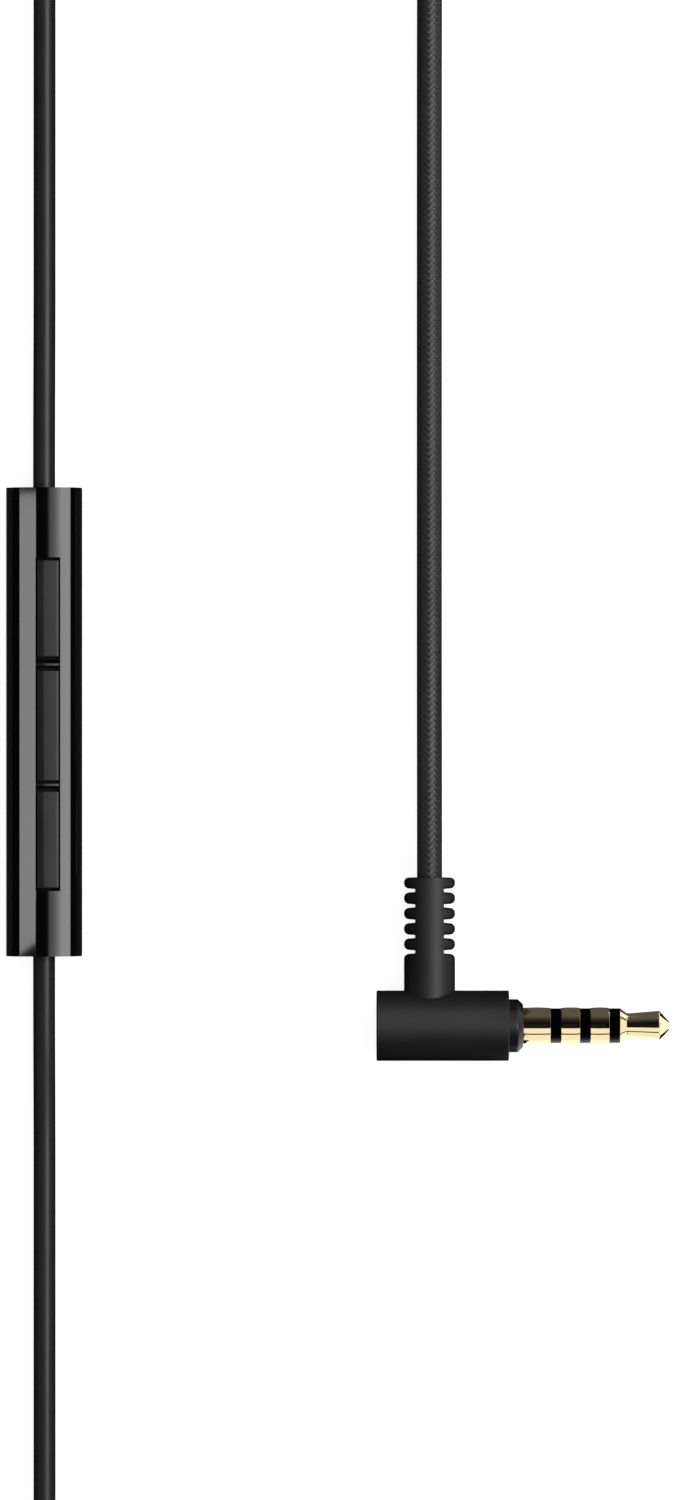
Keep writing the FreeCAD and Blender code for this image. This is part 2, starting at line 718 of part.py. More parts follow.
def pin_face_x():
    """Return the place along X of the collar's face, where the pin starts."""
    return MAIN_CORD_X + HOUSING_FRONT_LENGTH + COLLAR_LENGTH


def pin_piece(layer, bore_radius):
    """Return one tube of the pin, with its wider head."""
    corners = [
        (layer["tail"], bore_radius),
        (layer["tail"], layer["tube"]),
        (layer["start"], layer["tube"]),
        (layer["start"], layer["head"]),
        (layer["end"], layer["head"]),
        (layer["end"], bore_radius),
    ]
    return turned(corners, (pin_face_x(), PLUG_Y, HOUSING_RADIUS), X_AXIS, Y_AXIS)


def tip_contact(layer):
    """Return the tip of the pin, with its groove, cone and the rod that runs back inside."""
    neck = layer["start"] + TIP_FLANGE_LENGTH
    body = neck + TIP_NECK_LENGTH
    point = body + TIP_BODY_LENGTH
    end = point + TIP_POINT_LENGTH
    corners = [
        (layer["tail"], 0),
        (layer["tail"], layer["tube"]),
        (layer["start"], layer["tube"]),
        (layer["start"], layer["head"]),
        (neck, TIP_FLANGE_END_RADIUS),
        (neck, TIP_NECK_RADIUS),
        (body, TIP_NECK_RADIUS),
        (body, TIP_BODY_START_RADIUS),
        (point, TIP_BODY_END_RADIUS),
        (point + TIP_BEND_LENGTH, TIP_BEND_RADIUS),
        (end, TIP_POINT_RADIUS),
        (end, 0),
    ]
    return turned(corners, (pin_face_x(), PLUG_Y, HOUSING_RADIUS), X_AXIS, Y_AXIS)


def plug_collar():
    """Return the collar that closes the housing round the pin."""
    bore = PIN_TUBE_RADIUS + PIN_TUBE_GAP
    face = COLLAR_SPIGOT_LENGTH + COLLAR_LENGTH
    corners = [
        (0, bore),
        (0, CORE_RADIUS),
        (COLLAR_SPIGOT_LENGTH, CORE_RADIUS),
        (COLLAR_SPIGOT_LENGTH, COLLAR_RADIUS),
        (face - COLLAR_NOSE_CHAMFER, COLLAR_RADIUS),
        (face, COLLAR_RADIUS - COLLAR_NOSE_CHAMFER),
        (face, bore),
    ]
    return turned(corners, (pin_face_x() - face, PLUG_Y, HOUSING_RADIUS), X_AXIS, Y_AXIS)


def plug_core():
    """Return the inner moulding, a cup that holds the tails of the pin's tubes."""
    start_x = MAIN_CORD_X - CORE_BACK_LENGTH
    bore = PIN_TUBE_RADIUS + PIN_TUBE_GAP
    front = pin_face_x() - COLLAR_LENGTH - COLLAR_SPIGOT_LENGTH - start_x
    corners = [(0, 0), (0, CORE_RADIUS), (front, CORE_RADIUS), (front, bore), (CORE_BACK_WALL, bore),
               (CORE_BACK_WALL, 0)]
    return turned(corners, (start_x, PLUG_Y, HOUSING_RADIUS), X_AXIS, Y_AXIS)


def splitter_body(inset, low_y, high_y):
    """Return the splitter's body drawn in by an inset, between two places along Y."""
    narrow = SPLITTER_NARROW_WIDTH / 2 - inset
    wide = SPLITTER_WIDE_WIDTH / 2 - inset
    taper_start = SPLITTER_Y + SPLITTER_NECK_LENGTH
    taper_end = taper_start + SPLITTER_TAPER_LENGTH
    corners = [
        (-narrow, low_y),
        (narrow, low_y),
        (narrow, taper_start, SPLITTER_TAPER_RADIUS),
        (wide, taper_end, SPLITTER_TAPER_RADIUS),
        (wide, high_y, SPLITTER_CORNER_RADIUS),
        (-wide, high_y, SPLITTER_CORNER_RADIUS),
        (-wide, taper_end, SPLITTER_TAPER_RADIUS),
        (-narrow, taper_start, SPLITTER_TAPER_RADIUS),
    ]
    face = rounded_face(corners, lambda u, v: FreeCAD.Vector(SPLITTER_X + u, v, inset))
    return face.extrude(FreeCAD.Vector(0, 0, SPLITTER_HEIGHT - 2 * inset))


def splitter_shell(low, high):
    """Return the half of the splitter's casing between two heights."""
    body = splitter_body(0, SPLITTER_Y, SPLITTER_TOP_END)
    rim = [edge for edge in body.Edges if edge.BoundBox.ZLength < SNUG_GAP]
    casing = body.makeChamfer(SPLITTER_EDGE_CHAMFER, rim)
    casing = casing.cut(splitter_body(SPLITTER_WALL, SPLITTER_Y + SPLITTER_END_WALL,
                                      SPLITTER_TOP_END - SPLITTER_END_WALL))
    casing = casing.cut(rod(
        MAIN_CORD_DIAMETER / 2 + CORD_HOLE_GAP,
        (SPLITTER_X, SPLITTER_Y - OVERRUN, SPLITTER_AXIS_HEIGHT),
        Y_AXIS,
        CORD_INSERTION + OVERRUN,
    ))
    for side in (-1, 1):
        casing = casing.cut(rod(
            BRANCH_CORD_DIAMETER / 2 + CORD_HOLE_GAP,
            (SPLITTER_X + side * SPLITTER_BRANCH_SPACING / 2, SPLITTER_TOP_END - CORD_INSERTION,
             SPLITTER_AXIS_HEIGHT),
            Y_AXIS,
            CORD_INSERTION + OVERRUN,
        ))
    keep = box(
        centred(SPLITTER_X, SPLITTER_WIDE_WIDTH + 2 * OVERRUN),
        (SPLITTER_Y - OVERRUN, SPLITTER_TOP_END + OVERRUN),
        (low, high),
    )
    return casing.common(keep)


def splitter_crimp():
    """Return the crimp inside the splitter, a band that gathers the wires."""
    start = SPLITTER_Y + (SPLITTER_LENGTH - CRIMP_LENGTH) / 2
    up = (SPLITTER_WALL, SPLITTER_WALL + CRIMP_HEIGHT)
    corners = chamfered(centred(0, CRIMP_WIDTH), up, CRIMP_CHAMFER)
    face = rounded_face(corners, lambda u, v: FreeCAD.Vector(SPLITTER_X + u, start, v))
    band = face.cut(Part.Face(face.makeOffset2D(-CRIMP_WALL).OuterWire))
    return band.Faces[0].extrude(FreeCAD.Vector(0, CRIMP_LENGTH, 0))


def ear_rear_housing():
    """Return the rear housing of an earpiece with its stem."""
    inner_radius = EAR_RADIUS - EAR_WALL
    inner_back = EAR_BACK_CHAMFER - EAR_BACK_LENGTH
    outer = turned(
        [(-EAR_BACK_LENGTH, 0), (EAR_SEAM, 0), (EAR_SEAM, EAR_RADIUS),
         (EAR_BACK_CHAMFER - EAR_BACK_LENGTH, EAR_RADIUS), (-EAR_BACK_LENGTH, EAR_RADIUS - EAR_BACK_CHAMFER)],
        ORIGIN, X_AXIS, Y_AXIS,
    )
    cavity = turned(
        [(inner_back, 0), (EAR_SEAM + OVERRUN, 0), (EAR_SEAM + OVERRUN, inner_radius),
         (inner_back, inner_radius)],
        ORIGIN, X_AXIS, Y_AXIS,
    )
    stem = rod(STEM_RADIUS, (0, 0, 0), Y_AXIS, STEM_LENGTH)
    bore = rod(STEM_BORE_RADIUS + SNUG_GAP, (0, 0, 0), Y_AXIS, STEM_LENGTH + OVERRUN)
    return outer.fuse(stem).removeSplitter().cut(cavity).cut(bore)


def ear_front_housing():
    """Return the front housing of an earpiece, with its nozzle and barb."""
    shoulder = EAR_SEAM + EAR_SHOULDER_START
    barb = NOZZLE_END - BARB_LENGTH
    inner_radius = EAR_RADIUS - EAR_WALL
    corners = [
        (EAR_SEAM, inner_radius),
        (EAR_SEAM, EAR_RADIUS),
        (shoulder, EAR_RADIUS),
        (NOZZLE_START, NOZZLE_RADIUS),
        (barb, NOZZLE_RADIUS),
        (barb, NOZZLE_RADIUS + BARB_REACH),
        (NOZZLE_END, NOZZLE_RADIUS),
        (NOZZLE_END, NOZZLE_BORE_RADIUS),
        (NOZZLE_START, NOZZLE_BORE_RADIUS),
        (shoulder, inner_radius),
    ]
    return turned(corners, ORIGIN, X_AXIS, Y_AXIS)


def ear_nozzle_mesh():
    """Return the round mesh in the mouth of the nozzle."""
    start = NOZZLE_END - MESH_RECESS - MESH_THICKNESS
    return rod(NOZZLE_BORE_RADIUS - SNUG_GAP, (start, 0, 0), X_AXIS, MESH_THICKNESS)


def ear_driver():
    """Return the driver: a magnet cup and the flange that seats it in the housing."""
    flange_radius = EAR_RADIUS - EAR_WALL - SNUG_GAP
    flange_start = EAR_SEAM - DRIVER_FLANGE_THICKNESS
    return turned(
        [(flange_start - DRIVER_MAGNET_LENGTH, 0), (EAR_SEAM, 0), (EAR_SEAM, flange_radius),
         (flange_start, flange_radius), (flange_start, DRIVER_MAGNET_RADIUS),
         (flange_start - DRIVER_MAGNET_LENGTH, DRIVER_MAGNET_RADIUS)],
        ORIGIN, X_AXIS, Y_AXIS,
    )


def ear_diaphragm():
    """Return the domed diaphragm that lies on the driver's flange."""
    rim_radius = EAR_RADIUS - EAR_WALL - SNUG_GAP
    dome_radius = rim_radius - DIAPHRAGM_RIM_WIDTH
    top = EAR_SEAM + DIAPHRAGM_THICKNESS
    return turned(
        [(EAR_SEAM, dome_radius), (EAR_SEAM, rim_radius), (top, rim_radius), (top, dome_radius),
         (top + DIAPHRAGM_RISE, 0), (EAR_SEAM + DIAPHRAGM_RISE, 0)],
        ORIGIN, X_AXIS, Y_AXIS,
    )


def ear_strain_relief():
    """Return the ribbed sleeve where the cord enters the stem."""
    end = EAR_RELIEF_LENGTH
    core = EAR_RELIEF_RADIUS - EAR_RELIEF_GROOVE_DEPTH
    corners = [(-EAR_RELIEF_SPIGOT_LENGTH, 0), (-EAR_RELIEF_SPIGOT_LENGTH, STEM_BORE_RADIUS),
               (0, STEM_BORE_RADIUS), (0, EAR_RELIEF_RADIUS)]
    groove = end - EAR_RELIEF_GROOVE_COUNT * EAR_RELIEF_GROOVE_PITCH
    for _ in range(EAR_RELIEF_GROOVE_COUNT):
        corners += [(groove, EAR_RELIEF_RADIUS), (groove, core),
                    (groove + EAR_RELIEF_GROOVE_WIDTH, core),
                    (groove + EAR_RELIEF_GROOVE_WIDTH, EAR_RELIEF_RADIUS)]
        groove += EAR_RELIEF_GROOVE_PITCH
    corners += [(end, EAR_RELIEF_RADIUS), (end, 0)]
    sleeve = turned(corners, (0, STEM_LENGTH, 0), Y_AXIS, X_AXIS)
    hole = rod(BRANCH_CORD_DIAMETER / 2 + CORD_HOLE_GAP, (0, EAR_CORD_END - CORD_INSERTION, 0), Y_AXIS,
               CORD_INSERTION + OVERRUN)
    return sleeve.cut(hole)


def ear_tip():
    """Return the soft ear tip: a sleeve on the nozzle that opens into a mushroom skirt."""
    sleeve_start = NOZZLE_START + TIP_SLEEVE_START
    barb = NOZZLE_END - BARB_LENGTH - SNUG_GAP
    lip = NOZZLE_END + SNUG_GAP
    front = NOZZLE_END + TIP_LIP_LENGTH
    bore = NOZZLE_RADIUS + SNUG_GAP
    sleeve = bore + TIP_SLEEVE_WALL
    skirt = NOZZLE_START + TIP_SKIRT_START
    corners = [
        (sleeve_start, bore),
        (barb, bore),
        (barb, bore + BARB_REACH),
        (lip, bore + BARB_REACH),
        (lip, TIP_OPENING_RADIUS),
        (front, TIP_OPENING_RADIUS),
        (front, TIP_FRONT_RADIUS),
        (front - TIP_DOME_LENGTH, TIP_DOME_RADIUS),
        (front - TIP_SHOULDER_LENGTH, TIP_RADIUS),
        (skirt, TIP_RADIUS),
        (skirt, TIP_RADIUS - TIP_SKIRT_WALL),
        (front - TIP_SHOULDER_LENGTH, TIP_RADIUS - TIP_SKIRT_WALL),
        (lip - TIP_SKIRT_WALL, sleeve),
        (sleeve_start, sleeve),
    ]
    return turned(corners, ORIGIN, X_AXIS, Y_AXIS)


def place_left_ear(shape):
    """Return an earpiece's piece turned so that its stem points to -X and its nozzle to +Y."""
    placed = shape.copy()
    placed.rotate(ORIGIN, Z_AXIS, RIGHT_ANGLE)
    placed.translate(FreeCAD.Vector(LEFT_EAR_X, LEFT_EAR_Y, EAR_AXIS_HEIGHT))
    return placed


def place_right_ear(shape):
    """Return an earpiece's piece turned so that its stem points to +Y and its nozzle to -X."""
    placed = shape.copy()
    placed.rotate(ORIGIN, Y_AXIS, 2 * RIGHT_ANGLE)
    placed.translate(FreeCAD.Vector(RIGHT_EAR_X, RIGHT_EAR_Y, EAR_AXIS_HEIGHT))
    return placed


def coil(centre, inner_turn, outer_turn, layers, diameter):
    """Return the outer shape of a coil of cord that lies on its tie."""
    half = diameter / 2
    low = inner_turn - half
    high = outer_turn + half
    up = (COIL_BOTTOM, COIL_BOTTOM + layers * diameter)
    corners = chamfered((low, high), up, COIL_CHAMFER_SHARE * diameter)
    face = rounded_face(corners, lambda u, v: FreeCAD.Vector(centre[0] + u, centre[1], v))
    return face.revolve(FreeCAD.Vector(centre[0], centre[1], 0), Z_AXIS, FULL_TURN)


def coil_tie(centre, inner_turn, outer_turn, layers, diameter, angle):
    """Return the band that holds a coil together, wrapped round its turns at an angle."""
    half = diameter / 2 + COIL_TIE_GAP
    low = inner_turn - half
    high = outer_turn + half
    bottom = COIL_BOTTOM - COIL_TIE_GAP
    top = COIL_BOTTOM + layers * diameter + COIL_TIE_GAP
    axis_base = FreeCAD.Vector(centre[0], centre[1], 0)

    corners = chamfered((low, high), (bottom, top), COIL_CHAMFER_SHARE * diameter)
    inner = rounded_face(corners, lambda u, v: FreeCAD.Vector(centre[0] + u, centre[1], v))
    reach = COIL_TIE_THICKNESS
    corners = chamfered((low - reach, high + reach), (bottom - reach, top + reach),
                        COIL_CHAMFER_SHARE * diameter + reach * CHAMFER_GROWTH)
    outer = rounded_face(corners, lambda u, v: FreeCAD.Vector(centre[0] + u, centre[1], v))
    sweep = math.degrees(COIL_TIE_WIDTH / ((inner_turn + outer_turn) / 2))
    band = outer.cut(inner).Faces[0].revolve(axis_base, Z_AXIS, sweep)
    band.rotate(axis_base, Z_AXIS, angle - sweep / 2)
    return band


def cords():
    """Return the cords, the coils and their ties by name."""
    main_centre = (MAIN_COIL_X, MAIN_COIL_Y)
    main_coil = (main_centre, MAIN_COIL_INNER_TURN, MAIN_COIL_OUTER_TURN, MAIN_COIL_LAYERS, MAIN_CORD_DIAMETER)
    branch_centre = (BRANCH_COIL_X, BRANCH_COIL_Y)
    branch_coil = (branch_centre, BRANCH_COIL_INNER_TURN, BRANCH_COIL_OUTER_TURN, BRANCH_COIL_LAYERS,
                   BRANCH_CORD_DIAMETER)
    return {
        "main_cord": tube(MAIN_ROUTE, MAIN_CORD_DIAMETER, "main_cord"),
        "main_cord_coil": coil(*main_coil),
        "main_cord_tie": coil_tie(*main_coil, MAIN_COIL_TIE_ANGLE),
        "main_cord_tail": tube(MAIN_TAIL_ROUTE, MAIN_CORD_DIAMETER, "main_cord_tail"),
        "left_upper_cord": tube(LEFT_UPPER_ROUTE, BRANCH_CORD_DIAMETER, "left_upper_cord"),
        "left_lower_cord": tube(LEFT_LOWER_ROUTE, BRANCH_CORD_DIAMETER, "left_lower_cord"),
        "right_cord_lead": tube(RIGHT_LEAD_ROUTE, BRANCH_CORD_DIAMETER, "right_cord_lead"),
        "right_cord_coil": coil(*branch_coil),
        "right_cord_tie": coil_tie(*branch_coil, BRANCH_COIL_TIE_ANGLE),
        "right_cord_tail": tube(RIGHT_TAIL_ROUTE, BRANCH_CORD_DIAMETER, "right_cord_tail"),
    }


def remote():
    """Return the remote's pieces by name."""
    pieces = {
        "remote_front_shell": remote_front_shell(),
        "remote_back_shell": remote_back_shell(),
        "remote_circuit_board": remote_circuit_board(),
        "remote_microphone": remote_microphone(),
        "remote_upper_cord_grip": remote_cord_grip(REMOTE_TOP_END, -1),
        "remote_lower_cord_grip": remote_cord_grip(REMOTE_BOTTOM_END, 1),
    }
    for name, span in button_spans().items():
        pieces[name + "_button"] = remote_button(span)
        pieces[name + "_switch"] = remote_switch(span)
    return pieces


def plug():
    """Return the plug's pieces by name."""
    layers = pin_layers()
    pieces = {
        "plug_housing": plug_housing(),
        "plug_core": plug_core(),
        "plug_collar": plug_collar(),
    }
    for layer, inner in zip(layers, layers[1:]):
        pieces[layer["name"]] = pin_piece(layer, inner["tube"] + PIN_TUBE_GAP)
    pieces["tip_contact"] = tip_contact(layers[-1])
    return pieces


def splitter():
    """Return the splitter's pieces by name."""
    return {
        "splitter_front_shell": splitter_shell(SPLITTER_AXIS_HEIGHT, SPLITTER_HEIGHT + OVERRUN),
        "splitter_back_shell": splitter_shell(-OVERRUN, SPLITTER_AXIS_HEIGHT),
        "splitter_crimp": splitter_crimp(),
    }


def earpieces():
    """Return the pieces of both earpieces by name."""
    shapes = {
        "rear_housing": ear_rear_housing(),
        "front_housing": ear_front_housing(),
        "nozzle_mesh": ear_nozzle_mesh(),
        "driver": ear_driver(),
        "diaphragm": ear_diaphragm(),
        "strain_relief": ear_strain_relief(),
        "ear_tip": ear_tip(),
    }
    pieces = {}
    for name, shape in shapes.items():
        pieces["left_" + name] = place_left_ear(shape)
        pieces["right_" + name] = place_right_ear(shape)
    return pieces


def main():
    """Build every piece and write each one to its own file."""
    os.makedirs("parts", exist_ok=True)
    for group in (remote(), plug(), splitter(), earpieces(), cords()):
        for name, shape in group.items():
            shape.exportStep(os.path.join("parts", name + ".step"))


main()
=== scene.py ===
import math

import bmesh
import bpy
from mathutils import Matrix, Vector


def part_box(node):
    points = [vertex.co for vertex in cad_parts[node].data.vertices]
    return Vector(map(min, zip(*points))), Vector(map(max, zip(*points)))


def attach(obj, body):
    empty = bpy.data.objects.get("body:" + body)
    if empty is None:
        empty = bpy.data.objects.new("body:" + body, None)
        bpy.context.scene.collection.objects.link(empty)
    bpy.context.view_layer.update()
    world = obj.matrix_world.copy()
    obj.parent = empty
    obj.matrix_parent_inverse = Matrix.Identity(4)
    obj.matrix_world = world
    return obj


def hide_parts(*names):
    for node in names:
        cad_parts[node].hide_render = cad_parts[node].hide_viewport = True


bl_info = {
    "name": "Wired earphones",
    "version": (1, 0, 0),
    "blender": (4, 5, 0),
    "location": "3D View > Sidebar > Earphones",
    "description": "Builds the visible pieces of wired earphones with an in-line remote",
    "category": "Add Mesh",
}

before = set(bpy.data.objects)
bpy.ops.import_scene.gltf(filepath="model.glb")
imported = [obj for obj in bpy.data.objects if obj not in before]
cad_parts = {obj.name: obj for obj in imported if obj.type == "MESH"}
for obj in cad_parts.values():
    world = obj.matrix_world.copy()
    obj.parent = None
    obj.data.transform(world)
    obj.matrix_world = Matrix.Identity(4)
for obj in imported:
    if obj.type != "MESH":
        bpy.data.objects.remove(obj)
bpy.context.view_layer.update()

# Pieces are modelled in millimetres and brought to metres as they are finished
MM = 0.001
SAME_POINT = 1e-4
NEAR_POINT = 10 * SAME_POINT
MERGE_DISTANCE = 0.0015
ON_AXIS = 1e-5
X_AXIS = Vector((1, 0, 0))
Y_AXIS = Vector((0, 1, 0))
Z_AXIS = Vector((0, 0, 1))
QUARTER_TURN = math.tau / 4

# Fineness of the meshes
ROUND_STEPS = 6
SOFT_STEPS = 2
CROWN_STEPS = 28
SHOULDER_STEPS = 14
TURN_STEPS = 96
CORD_STEPS = 12
CORD_BEVEL_STEPS = 10
# Faces that meet at more than these angles keep a crease between them
CREASE_ANGLE = math.radians(38)
CORD_CREASE_ANGLE = math.radians(80)
# Edges count as a rim where their faces turn by more than this
RIM_ANGLE = math.radians(60)


def box_mm(node):
    """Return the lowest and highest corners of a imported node, in millimetres."""
    low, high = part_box(node)
    return low / MM, high / MM


# Remote, about its own centre line, in millimetres
REMOTE_LOW, REMOTE_HIGH = box_mm("remote_front_shell")
REMOTE_X = (REMOTE_LOW.x + REMOTE_HIGH.x) / 2
REMOTE_HALF_WIDTH = (REMOTE_HIGH.x - REMOTE_LOW.x) / 2
REMOTE_SPLIT = REMOTE_LOW.z
REMOTE_TOP = REMOTE_HIGH.z
REMOTE_WALL = 0.7
REMOTE_END_ROUNDING = 0.15
REMOTE_END_STEPS = 4
SEAM_ROUNDING = 0.06
RIDGE_OFFSET = -0.71
RIDGE_ROUNDING = 0.03
LEFT_FACET_TILT = math.radians(13.0)
CROWN_START_TILT = math.radians(1.0)
RIGHT_FACET_TILT = math.radians(20.0)
CROWN_REACH = 1.66
CROWN_RADIUS = CROWN_REACH / math.tan((RIGHT_FACET_TILT - CROWN_START_TILT) / 2)
LEFT_SHOULDER_RADIUS = 1.75
RIGHT_SHOULDER_RADIUS = 1.7
BACK_CORNER_RADIUS = 0.9
CAVITY_CEILING = 3.92
POCKET_RIM_ROUNDING = 0.1
BUTTON_WIDTH = 2.1
BUTTON_SIDE_GAP = 0.12
BUTTON_END_GAP = 0.3
BUTTON_RECESS = 0.04
BUTTON_EDGE_ROUNDING = 0.08
BUTTON_EDGE_FACET = 0.25
BUTTON_EDGE_DROP = 0.012
BUTTON_EDGE_STEPS = 3
# Where the cap's two upper facets meet, from the remote's centre line
BUTTON_CREASE = 0.0
BUTTON_CREASE_ROUNDING = 0.1
BUTTON_FLANGE_THICKNESS = 0.35
POCKET_OFFSET = 0.42
RIB_THICKNESS = 0.2
RIB_RECESS = 0.3
UPPER_RIB_DISTANCE = 0.58
LOWER_RIB_DISTANCE = 0.41
RIB_DEPTH = 0.6

# Plug, in millimetres
PLUG_LOW, PLUG_HIGH = box_mm("plug_housing")
COLLAR_LOW, COLLAR_HIGH = box_mm("plug_collar")
MAIN_CORD_X = 9.1
HOUSING_RADIUS = PLUG_HIGH.z / 2
PLUG_Y = PLUG_LOW.y + HOUSING_RADIUS
PLUG_AXIS = Vector((0, PLUG_Y, HOUSING_RADIUS))
HOUSING_EDGE_ROUNDING = 0.12
COLLAR_CHAMFER = 0.5
COLLAR_CHAMFER_ROUNDING = 0.1
COLLAR_ROOT = 0.5
# The strain relief is a column whose back and front are arcs, between two finned side plates
COLUMN_HALF_WIDTH = 1.36
COLUMN_HALF_HEIGHT = 2.1
COLUMN_BACK_RADIUS = 2.4
COLUMN_END_ROUNDING = 0.05
FIN_REACH = 2.43
FIN_HALF_THICKNESS = 2.0
FIN_CORNER_ROUNDING = 0.45
FIN_LAYERS = 22
FIN_LAYER_TILT = math.radians(78)
WEB_HALF_WIDTH = 1.32
SLOT_COUNT = 5
SLOT_PITCH = 1.46
SLOT_WIDTH = 0.44
SLOT_TAPER = 0.08
SLOT_CORNER_ROUNDING = 0.13
PIN_RADIUS = 1.75
PIN_BORE = 1.0
PIN_EDGE_ROUNDING = 0.03
PIN_BANDS = ("sleeve_contact", "base_insulator", "inner_ring_contact", "middle_insulator",
             "outer_ring_contact", "tip_insulator")
BAND_BULGE = 0.05
INSULATOR_RECESS = 0.1
GOLD_PIECES = [name + "_band" for name in PIN_BANDS if "contact" in name] + ["pin_tip"]
PIN_PIECES = GOLD_PIECES + [name + "_band" for name in PIN_BANDS if "insulator" in name]
PLUG_PIECES = ["plug_body", "plug_nose"]
REMOTE_PIECES = ["remote_front_cover", "remote_back_cover"]
GLOSSY_PIECES = REMOTE_PIECES + [
    "splitter_front_half", "splitter_back_half",
    "left_front_cover", "left_rear_cover", "right_front_cover", "right_rear_cover",
]
PIN_TIP_FLANGE_LENGTH = 0.62
PIN_TIP_FLANGE_RADIUS = 1.22
PIN_TIP_NECK_LENGTH = 0.2
PIN_TIP_NECK_RADIUS = 1.18
PIN_TIP_BODY_END = 3.75
PIN_TIP_BODY_RADIUS = 1.42
PIN_TIP_POINT_LENGTH = 1.0
PIN_TIP_POINT_RADIUS = 0.36
PIN_TIP_EDGE_ROUNDING = 0.05

# Splitter, in millimetres
SPLITTER_LOW, SPLITTER_HIGH = box_mm("splitter_front_shell")
SPLITTER_X = (SPLITTER_LOW.x + SPLITTER_HIGH.x) / 2
SPLITTER_NARROW = 2.6
SPLITTER_WIDE = (SPLITTER_HIGH.x - SPLITTER_LOW.x) / 2
SPLITTER_NECK = 4.0
SPLITTER_NECK_ROUNDING = 0.3
SPLITTER_TAPER = 8.0
SPLITTER_TAPER_ROUNDING = 1.2
SPLITTER_CORNER_ROUNDING = 1.0
SPLITTER_EDGE_ROUNDING = 0.8
CORD_GAP = 0.08

# Earpieces, in millimetres: each has a centre, the way its nozzle points and the way its stem points
EARS = {
    "left": (Vector((23.8, -117.5, 6.0)), Y_AXIS, -X_AXIS),
    "right": (Vector((27.2, 63.5, 6.0)), -X_AXIS, Y_AXIS),
}
EAR_RADIUS = 5.8
EAR_BACK = -4.0
EAR_BACK_ROUNDING = 1.4
EAR_SEAM = 2.6
EAR_SEAM_ROUNDING = 0.12
EAR_SHOULDER = 4.2
EAR_SHOULDER_ROUNDING = 0.7
NOZZLE_START = 7.6
NOZZLE_START_ROUNDING = 0.9
NOZZLE_RADIUS = 2.4
NOZZLE_BORE = 1.8
NOZZLE_BORE_DEPTH = 1.4
NOZZLE_END = 12.4
NOZZLE_END_ROUNDING = 0.1
BARB_LENGTH = 1.2
BARB_RADIUS = 2.75
BARB_ROUNDING = 0.08
STEM_RADIUS = 2.3
STEM_END = 11.0
STEM_END_ROUNDING = 0.2
STEM_FLARE_RADIUS = 3.1
STEM_FLARE_ROUNDING = 0.5
STEM_FLARE_END = 6.9
STEM_FLARE_END_ROUNDING = 0.6
EAR_RELIEF_RADIUS = 1.8
EAR_RELIEF_CORE = 1.4
EAR_RELIEF_LENGTH = 7.0
EAR_RELIEF_END_ROUNDING = 0.2
EAR_RELIEF_GROOVES = 3
EAR_RELIEF_PITCH = 1.6
EAR_RELIEF_GROOVE = 0.6
GROOVE_RIM_ROUNDING = 0.12
GROOVE_FLOOR_ROUNDING = 0.1
TIP_RADIUS = 6.0
TIP_WALL = 0.5
TIP_FRONT = 13.9
TIP_FRONT_RADIUS = 3.6
TIP_FRONT_ROUNDING = 0.5
TIP_OPENING = 2.1
TIP_OPENING_ROUNDING = 0.3
TIP_DOME = (12.7, 5.3)
TIP_DOME_ROUNDING = 0.8
TIP_SHOULDER = 11.3
TIP_SHOULDER_ROUNDING = 0.7
TIP_SKIRT_START = 8.5
TIP_SLEEVE_START = 8.0
TIP_SLEEVE_RADIUS = 3.18
TIP_SLEEVE_ROUNDING = 0.6
TIP_RIM_ROUNDING = 0.2
TIP_BORE_ROUNDING = 0.1
TIP_LIP_ROUNDING = 0.15
TIP_GAP = 0.04
TIP_BARB_GAP = 0.05

# Cords, in metres
MAIN_CORD_DIAMETER = 0.0024
BRANCH_CORD_DIAMETER = 0.0021
LEFT_LOWER_POINTS = [
    (-0.0276, -0.0462, 0.0025), (-0.0276, -0.0538, 0.00245), (-0.0276, -0.0635, 0.00105),
    (-0.0276, -0.0732, 0.00105), (-0.0276, -0.0945, 0.00105), (-0.0276, -0.1070, 0.00105),
    (-0.0210, -0.1176, 0.00105), (-0.0060, -0.1175, 0.0059), (0.0073, -0.1175, 0.0060),
]
LEFT_UPPER_POINTS = [
    (-0.0276, -0.0046, 0.0025), (-0.0276, 0.0032, 0.00245), (-0.0276, 0.0128, 0.00105),
    (-0.0276, 0.0224, 0.00105), (-0.0276, 0.0600, 0.00105), (-0.0282, 0.1040, 0.00105),
    (-0.0280, 0.1281, 0.00105), (-0.01975, 0.1329, 0.00105), (-0.0115, 0.1281, 0.00245),
    (-0.0115, 0.1200, 0.0025),
]
MAIN_POINTS = [
    (0.0091, -0.0411, 0.00335), (0.0091, -0.0330, 0.0033), (0.0091, -0.0200, 0.0012),
    (0.0091, -0.0070, 0.0012), (0.0091, 0.0600, 0.0016),
]
MAIN_TAIL_POINTS = [
    (-0.0030, 0.0842, 0.0072), (-0.0098, 0.0952, 0.00255), (-0.0098, 0.1050, 0.0025),
]
RIGHT_LEAD_POINTS = [
    (-0.0081, 0.1200, 0.0025), (-0.0081, 0.1258, 0.00245), (-0.0034, 0.1305, 0.0015),
    (0.0105, 0.1305, 0.00145),
]
RIGHT_TAIL_POINTS = [
    (0.0274, 0.1060, 0.0022), (0.0270, 0.0965, 0.0022), (0.0272, 0.0882, 0.00592),
    (0.0272, 0.0800, 0.0060),
]
COIL_POINTS_PER_TURN = 16
# A smooth line through a ring of control points has this share of their radius
COIL_DRAW_IN = (3 + math.cos(math.tau / COIL_POINTS_PER_TURN)) / 4
